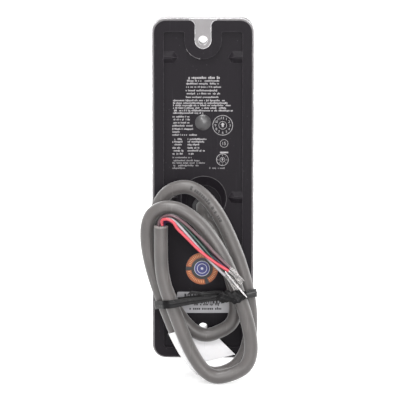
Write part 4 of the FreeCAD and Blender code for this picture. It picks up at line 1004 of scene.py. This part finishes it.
def tie_band(line):
    """A flat ribbon with a wire ridge down its middle, carried round the loop. It is narrower and
    creased across the front, where it is pulled towards the knot."""
    loop = tie_ring(line)
    way = unit(np.roll(loop, -1, axis=0) - np.roll(loop, 1, axis=0))
    outward = beside(way[:, 1], -way[:, 0])
    places = np.linspace(-1, 1, 17)
    front = np.clip((loop[:, 1] - 20.5) / 2.0, 0, 1)
    towards_knot = np.clip((loop[:, 0] + 14) / 20, 0, 1) * front
    half = TIE_HALF_WIDTH * (1 - TIE_NARROWING * towards_knot)
    wave = 0.07 * np.sin(np.linspace(0, 14 * math.pi, len(loop))) + 0.65 * towards_knot
    ridge = 0.14 + 0.16 * np.exp(-(places / 0.2) ** 2) - 0.05 * places ** 4
    crease = 0.05 * np.cos(places * 9)[None] * front[:, None]
    outer = ridge[None] - np.abs(crease)
    inner = np.full((len(loop), len(places)), -0.2)
    profile_t = np.concatenate([outer, inner[:, ::-1]], axis=1)
    profile_w = half[:, None] * np.concatenate([places, places[::-1] * 0.985])[None] + wave[:, None]
    flat = loop[:, None] + outward[:, None] * profile_t[..., None]
    points = tie_places(flat[..., 0], flat[..., 1], profile_w)
    rows, columns = points.shape[:2]
    faces = grid_faces(rows + 1, columns, True) % (rows * columns)
    return points, faces[:, ::-1]


def tie_knot():
    """The twisted knot: an oval section that swells and shrinks along the knot, turns round it as it
    goes, and is folded by waves round and along it."""
    share = np.linspace(0, 1, 90)[:, None]
    turn = np.linspace(0, 2 * math.pi, 56, endpoint=False)[None]
    swell = np.sin(math.pi * np.clip(share, 0.02, 0.98)) ** 0.55 * (1 + 0.12 * np.sin(11 * share))
    twist = 2.6 * math.pi * share
    folds = 1 + 0.16 * np.cos(3 * turn + twist * 2) + 0.1 * np.cos(5 * turn - 17 * share)
    folds = folds + 0.05 * np.sin(9 * turn + 31 * share)
    wide = KNOT_HALF_WIDE * swell * folds * np.cos(turn)
    deep = KNOT_HALF_DEEP * swell * folds * np.sin(turn)
    lean = 0.35 * np.sin(twist)
    across = KNOT_PLACE + (share - 0.5) * KNOT_LENGTH
    wide_place = wide * np.cos(lean) - deep * np.sin(lean) + 0.35 * np.sin(6 * share)
    depth = KNOT_DEPTH + wide * np.sin(lean) * 0.45 + deep * np.cos(lean)
    points = tie_places(across, depth, wide_place)
    return points, ring_faces(*points.shape[:2])


def tie_tail():
    """The loose tail: a narrow ribbon that rises from the knot along the band, rolls over as it goes
    and ends in a slanting cut."""
    share = np.linspace(0, 1, 60)[:, None]
    places = np.linspace(-1, 1, 13)
    across = TAIL_START - TAIL_LENGTH * share
    depth = TAIL_DEPTH + 0.5 * np.sin(share * 3.0)
    rise = 1.75 + 1.95 * share + 0.25 * np.sin(share * 9)
    half = 1.2 - 0.45 * share + 0.12 * np.sin(share * 7)
    ridge = 0.12 + 0.16 * np.exp(-(places / 0.22) ** 2)
    profile_w = np.concatenate([places, places[::-1]])[None] * half
    profile_t = np.concatenate([ridge, np.full(len(places), -0.16)])[None]
    roll = 0.75 * np.sin(share * 5 + 0.6)
    wide = profile_w * np.cos(roll) - profile_t * np.sin(roll)
    deep = profile_w * np.sin(roll) * 0.5 + profile_t * np.cos(roll)
    slant = 0.9 * np.concatenate([places, places[::-1]])[None] * share ** 8
    points = tie_places(across + slant, depth + deep, rise + wide)
    return points, ring_faces(*points.shape[:2])


def make_tie(line):
    tie = add_mesh("twist_tie_band", *joined([tie_band(line), tie_knot(), tie_tail()]))
    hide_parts("twist_tie")
    black = surface(
        "tie_plastic", (11, 10, 11), (16, 15, 16), (0.24, 0.36), grain=3000, depth=0.03, blotch=300,
        scratches=(46, 44, 47), scratch_amount=0.5, Specular_IOR_Level=0.13,
    )
    return finish_piece(tie, black)


def tag_strand(line):
    """The stretch of the cable that the tag is wrapped round, from its upper end to its lower."""
    across, along = coil_place(line)
    held = (np.abs(line[:, 1] - TAG_DEPTH) < 1.0) & (across < 0)
    held &= (along > TAG_START - 2) & (along < TAG_END + 2)
    order = np.argsort(along[held])
    return drawn_between(np.linspace(TAG_START, TAG_END, 44), along[held][order], line[held][order])


def make_tag(line):
    """A strip of paper: wrapped once round the cable, then down from it in a soft fold to a flat flag
    behind. Across the paper it runs round the cable by its angle, then along the fold's curve, then
    straight to the flag's outer edge, and it has the paper's thickness throughout."""
    strand_line = tag_strand(line)
    out, side = squared(unit(np.gradient(strand_line, axis=0)), np.array([0.0, -1.0, 0.0]))
    side = side * np.sign(side[:, :1] * -1)
    turn = np.linspace(0.25, -2 * math.pi + 0.12, 44)
    radius = CABLE_DIAMETER / 2 + np.linspace(0.2, 0.28, len(turn))
    ring = out[:, None] * np.cos(turn)[:, None] + side[:, None] * np.sin(turn)[:, None]
    wrap = strand_line[:, None] + radius[:, None] * ring
    corners = [np.array(coil_point(*place, TAG_FLAG_DEPTH)) for place in TAG_CORNERS]
    share = np.linspace(0, 1, len(strand_line))[:, None]
    edge = corners[0] * (1 - share) + corners[1] * share
    edge[:, 1] += 0.25 * np.sin(math.pi * share[:, 0])
    top = wrap[:, -1:]
    foot = (strand_line + side * 0.9)[:, None]
    foot[..., 1] = TAG_FLAG_DEPTH
    step = np.linspace(0, 1, 14)[1:, None]
    fold = top * (1 - step) ** 2 + (top - (0, 5.0, 0)) * 2 * step * (1 - step) + foot * step ** 2
    step = np.linspace(0, 1, 18)[1:, None]
    flag = foot + (edge[:, None] - foot) * step
    flag[..., 1] += (0.35 * np.sin(math.pi * step) + 0.28 * step ** 3)[:, 0]
    points = np.concatenate([wrap, fold, flag], axis=1)
    tag = add_mesh("paper_flag", points, grid_faces(*points.shape[:2]))
    thick = tag.modifiers.new("paper", "SOLIDIFY")
    thick.thickness = TAG_THICKNESS * MM
    thick.offset = 0
    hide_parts("cable_tag")
    paper = surface(
        "tag_paper", (243, 242, 243), (237, 236, 238), (0.55, 0.66), grain=2200, depth=0.02, blotch=120,
        scratches=(196, 196, 202), scratch_amount=0.25,
    )
    return finish_piece(tag, paper)


# Keys


def key_outline():
    """The cap's profile from the middle of its face to the middle of its back: a shallow dish, a
    rounded edge, the side, the flange and the back."""
    inside = np.linspace(0, KEY_DISH_HALF, 9)
    dish = beside(inside, KEY_FACE + KEY_DISH * (1 - (inside / KEY_DISH_HALF) ** 2))
    turn = np.linspace(0, math.pi / 2, 7)
    across = KEY_HALF - KEY_EDGE + KEY_EDGE * np.sin(turn)
    edge = beside(across, KEY_FACE + KEY_EDGE - KEY_EDGE * np.cos(turn))
    return np.concatenate([dish, edge, np.array(KEY_BACK)])


def square_size(places):
    """How far out places are, from the middle of a square with round corners to its edge at one."""
    return (np.abs(places) ** KEY_SQUARENESS).sum(-1) ** (1 / KEY_SQUARENESS)


def squared_ring(count):
    """A round-cornered square of half width one: the circle's directions over how far out they are."""
    turn = np.linspace(0, 2 * math.pi, count, endpoint=False)
    ring = beside(np.cos(turn), np.sin(turn))
    return ring / square_size(ring)[:, None]


def key_cap(name, x, z):
    outline = key_outline()
    ring = squared_ring(96)
    rows = outline[1:-1]
    across = rows[:, :1]
    grid = beside(x + across * ring[:, 0], rows[:, 1:], z + across * ring[:, 1]).reshape(-1, 3)
    points = np.concatenate([[[x, outline[0, 1], z]], grid, [[x, outline[-1, 1], z]]])
    count = len(ring)
    faces = grid_faces(len(rows), count, True, 1)[:, ::-1].tolist()
    first = np.arange(count) + 1
    last = first + (len(rows) - 1) * count
    faces += beside(first, np.roll(first, -1), 0).tolist()
    faces += beside(np.roll(last, -1), last, len(points) - 1).tolist()
    return add_mesh(name + "_face", points, faces)


def key_sign(name, x, z):
    """The key's number or sign, laid on the dish."""
    text = KEY_SIGNS.get(name, name.split("_")[1])
    places, faces = sign_shape(text, STAR_SIZE if text == "*" else DIGIT_SIZE)
    depth = KEY_FACE + KEY_DISH * (1 - (square_size(places) / KEY_DISH_HALF) ** 2) - 0.03
    points = beside(x + places[:, 0], np.maximum(depth, KEY_FACE), z + places[:, 1])
    return add_mesh(name + "_sign", points, faces, smooth=False)


def make_keys():
    metal = surface(
        "key_metal", (176, 177, 181), (166, 167, 172), (0.3, 0.4), metallic=1.0, grain=5200, depth=0.006,
        blotch=160, wear_and_highlight=(214, 215, 219), wear_and_highlight_radius=0.25, wear_and_highlight_amount=0.8, scratches=(205, 206, 210),
    )
    ink = surface("key_ink", (38, 40, 46), (48, 50, 56), (0.4, 0.5), depth=0.004, blotch=400)
    for name in NODES:
        if not name.startswith("key_") or name in ("key_mat", "key_sensors"):
            continue
        low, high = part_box(name)
        x, z = (low.x + high.x) / 2 / MM, (low.z + high.z) / 2 / MM
        cap = key_cap(name, x, z)
        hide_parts(name)
        finish_piece(cap, metal, name + "_cap")
        finish_piece(key_sign(name, x, z), ink, name + "_cap")


# Finishes of the solids


def solid_finishes():
    """A finish for each solid that shows as it is."""
    board = surface(
        "circuit_board", (22, 84, 52), (16, 66, 42), (0.32, 0.42), grain=1800, blotch=500,
        specks=(196, 190, 150),
    )
    steel = surface("screw_steel", (176, 176, 180), (150, 150, 156), (0.25, 0.36), metallic=1.0, blotch=600)
    chip = surface("chip_plastic", (30, 30, 32), (40, 40, 42), (0.5, 0.62), grain=5000)
    return {
        "front_board": board, "main_board": board, "board_screws": steel, "spacer_screws": steel,
        "controller_chip": chip, "radio_chip": chip, "tamper_sensor": chip,
        # The plate's lighter edge tint is partly wear and partly painted highlight.
        "back_plate": surface(
            "plate_plastic", (22, 19, 23), (27, 24, 28), (0.4, 0.54), grain=5000, depth=0.016, blotch=45,
            wear_and_highlight=(74, 71, 75), wear_and_highlight_radius=0.35, wear_and_highlight_amount=0.7, specks=(70, 68, 72),
            scratches=(44, 42, 47), scratch_amount=0.22, Specular_IOR_Level=0.09,
        ),
        # The cover's near-white edge tint is a painted highlight along its edges.
        "front_cover": surface(
            "cover_metal", (120, 118, 119), (111, 109, 110), (0.5, 0.6), metallic=0.9, grain=7000,
            depth=0.012, blotch=40, wear_and_highlight=(232, 231, 233), wear_and_highlight_radius=0.5, scratches=(190, 190, 194),
            scratch_amount=0.14,
        ),
        "seal_gasket": surface(
            "seal_rubber", (34, 33, 35), (42, 41, 43), (0.62, 0.74), depth=0.02, blotch=120,
        ),
        "key_mat": surface("mat_rubber", (70, 72, 78), (60, 62, 68), (0.55, 0.65), depth=0.015),
        "key_sensors": surface(
            "sensor_disc", (190, 160, 92), (170, 140, 80), (0.3, 0.42), metallic=1.0, blotch=300,
        ),
        "board_spacers": surface(
            "spacer_brass", (196, 164, 96), (176, 142, 78), (0.28, 0.4), metallic=1.0, blotch=400,
        ),
        "board_header": surface(
            "connector_plastic", (220, 214, 196), (206, 200, 182), (0.4, 0.5), blotch=300,
        ),
        "small_parts": surface("chip_ceramic", (168, 140, 104), (190, 166, 132), (0.4, 0.5), blotch=900),
        "buzzer": surface("buzzer_plastic", (26, 26, 28), (34, 34, 36), (0.36, 0.46)),
        "status_lens": surface(
            "status_lens", (206, 212, 216), (196, 203, 208), (0.24, 0.34), grain=3000, depth=0.008,
            blotch=200, Transmission_Weight=0.35, IOR=1.49,
        ),
        "status_leds": surface("light_chip", (232, 226, 176), (220, 212, 150), (0.3, 0.4), blotch=900),
        "reader_window": surface(
            "window_plastic", (28, 29, 33), (34, 35, 39), (0.18, 0.28), grain=6500, depth=0.008,
            wear_and_highlight=(70, 72, 78), wear_and_highlight_radius=0.25, wear_and_highlight_amount=0.5, scratches=(66, 67, 72),
            Coat_Weight=0.4, Coat_Roughness=0.12,
        ),
        "aerial_coil": surface(
            "aerial_copper", (184, 112, 74), (164, 96, 62), (0.28, 0.4), metallic=1.0, blotch=300,
        ),
        "ferrite_sheet": surface("ferrite", (58, 56, 58), (70, 68, 70), (0.5, 0.6), blotch=200),
        "tamper_lens": surface(
            "tamper_lens", (46, 44, 46), (54, 52, 54), (0.34, 0.44), grain=2500, depth=0.006, blotch=300,
            Transmission_Weight=0.3, IOR=1.49, Coat_Weight=0.5, Coat_Roughness=0.22,
        ),
        "cable_gland": surface(
            "gland_rubber", (40, 39, 41), (48, 47, 49), (0.5, 0.62), depth=0.02, blotch=200,
        ),
        "inner_wires": surface("wire_core", (150, 60, 60), (120, 46, 46), (0.3, 0.4), blotch=400),
        "back_label": surface(
            "label_paper", (160, 159, 162), (151, 150, 154), (0.34, 0.46), grain=3500, depth=0.008,
            blotch=90, scratches=(170, 170, 176),
        ),
        "round_seal": surface(
            "seal_print", (24, 23, 26), (31, 30, 34), (0.26, 0.36), depth=0.006, blotch=200,
        ),
    }


def finish_solids():
    for name, material in solid_finishes().items():
        materials = NODES[name].data.materials
        materials.clear()
        materials.append(material)


# The scene


make_camera()
make_stage()
make_lights()
cable = make_cable()
wires = make_wires()
cable_line = spline_line(cable)
wire_lines = {name: spline_line(wire) for name, wire in wires.items()}
cable_pieces = [
    make_wire_ends(wire_lines),
    make_drain_wire(),
    make_jacket_lip(),
    make_cable_print(cable_line),
    make_tie(cable_line),
    make_tag(cable_line),
]
make_back_print()
make_label_print()
make_seal_print()
make_shiny_edges()
make_keys()
finish_solids()
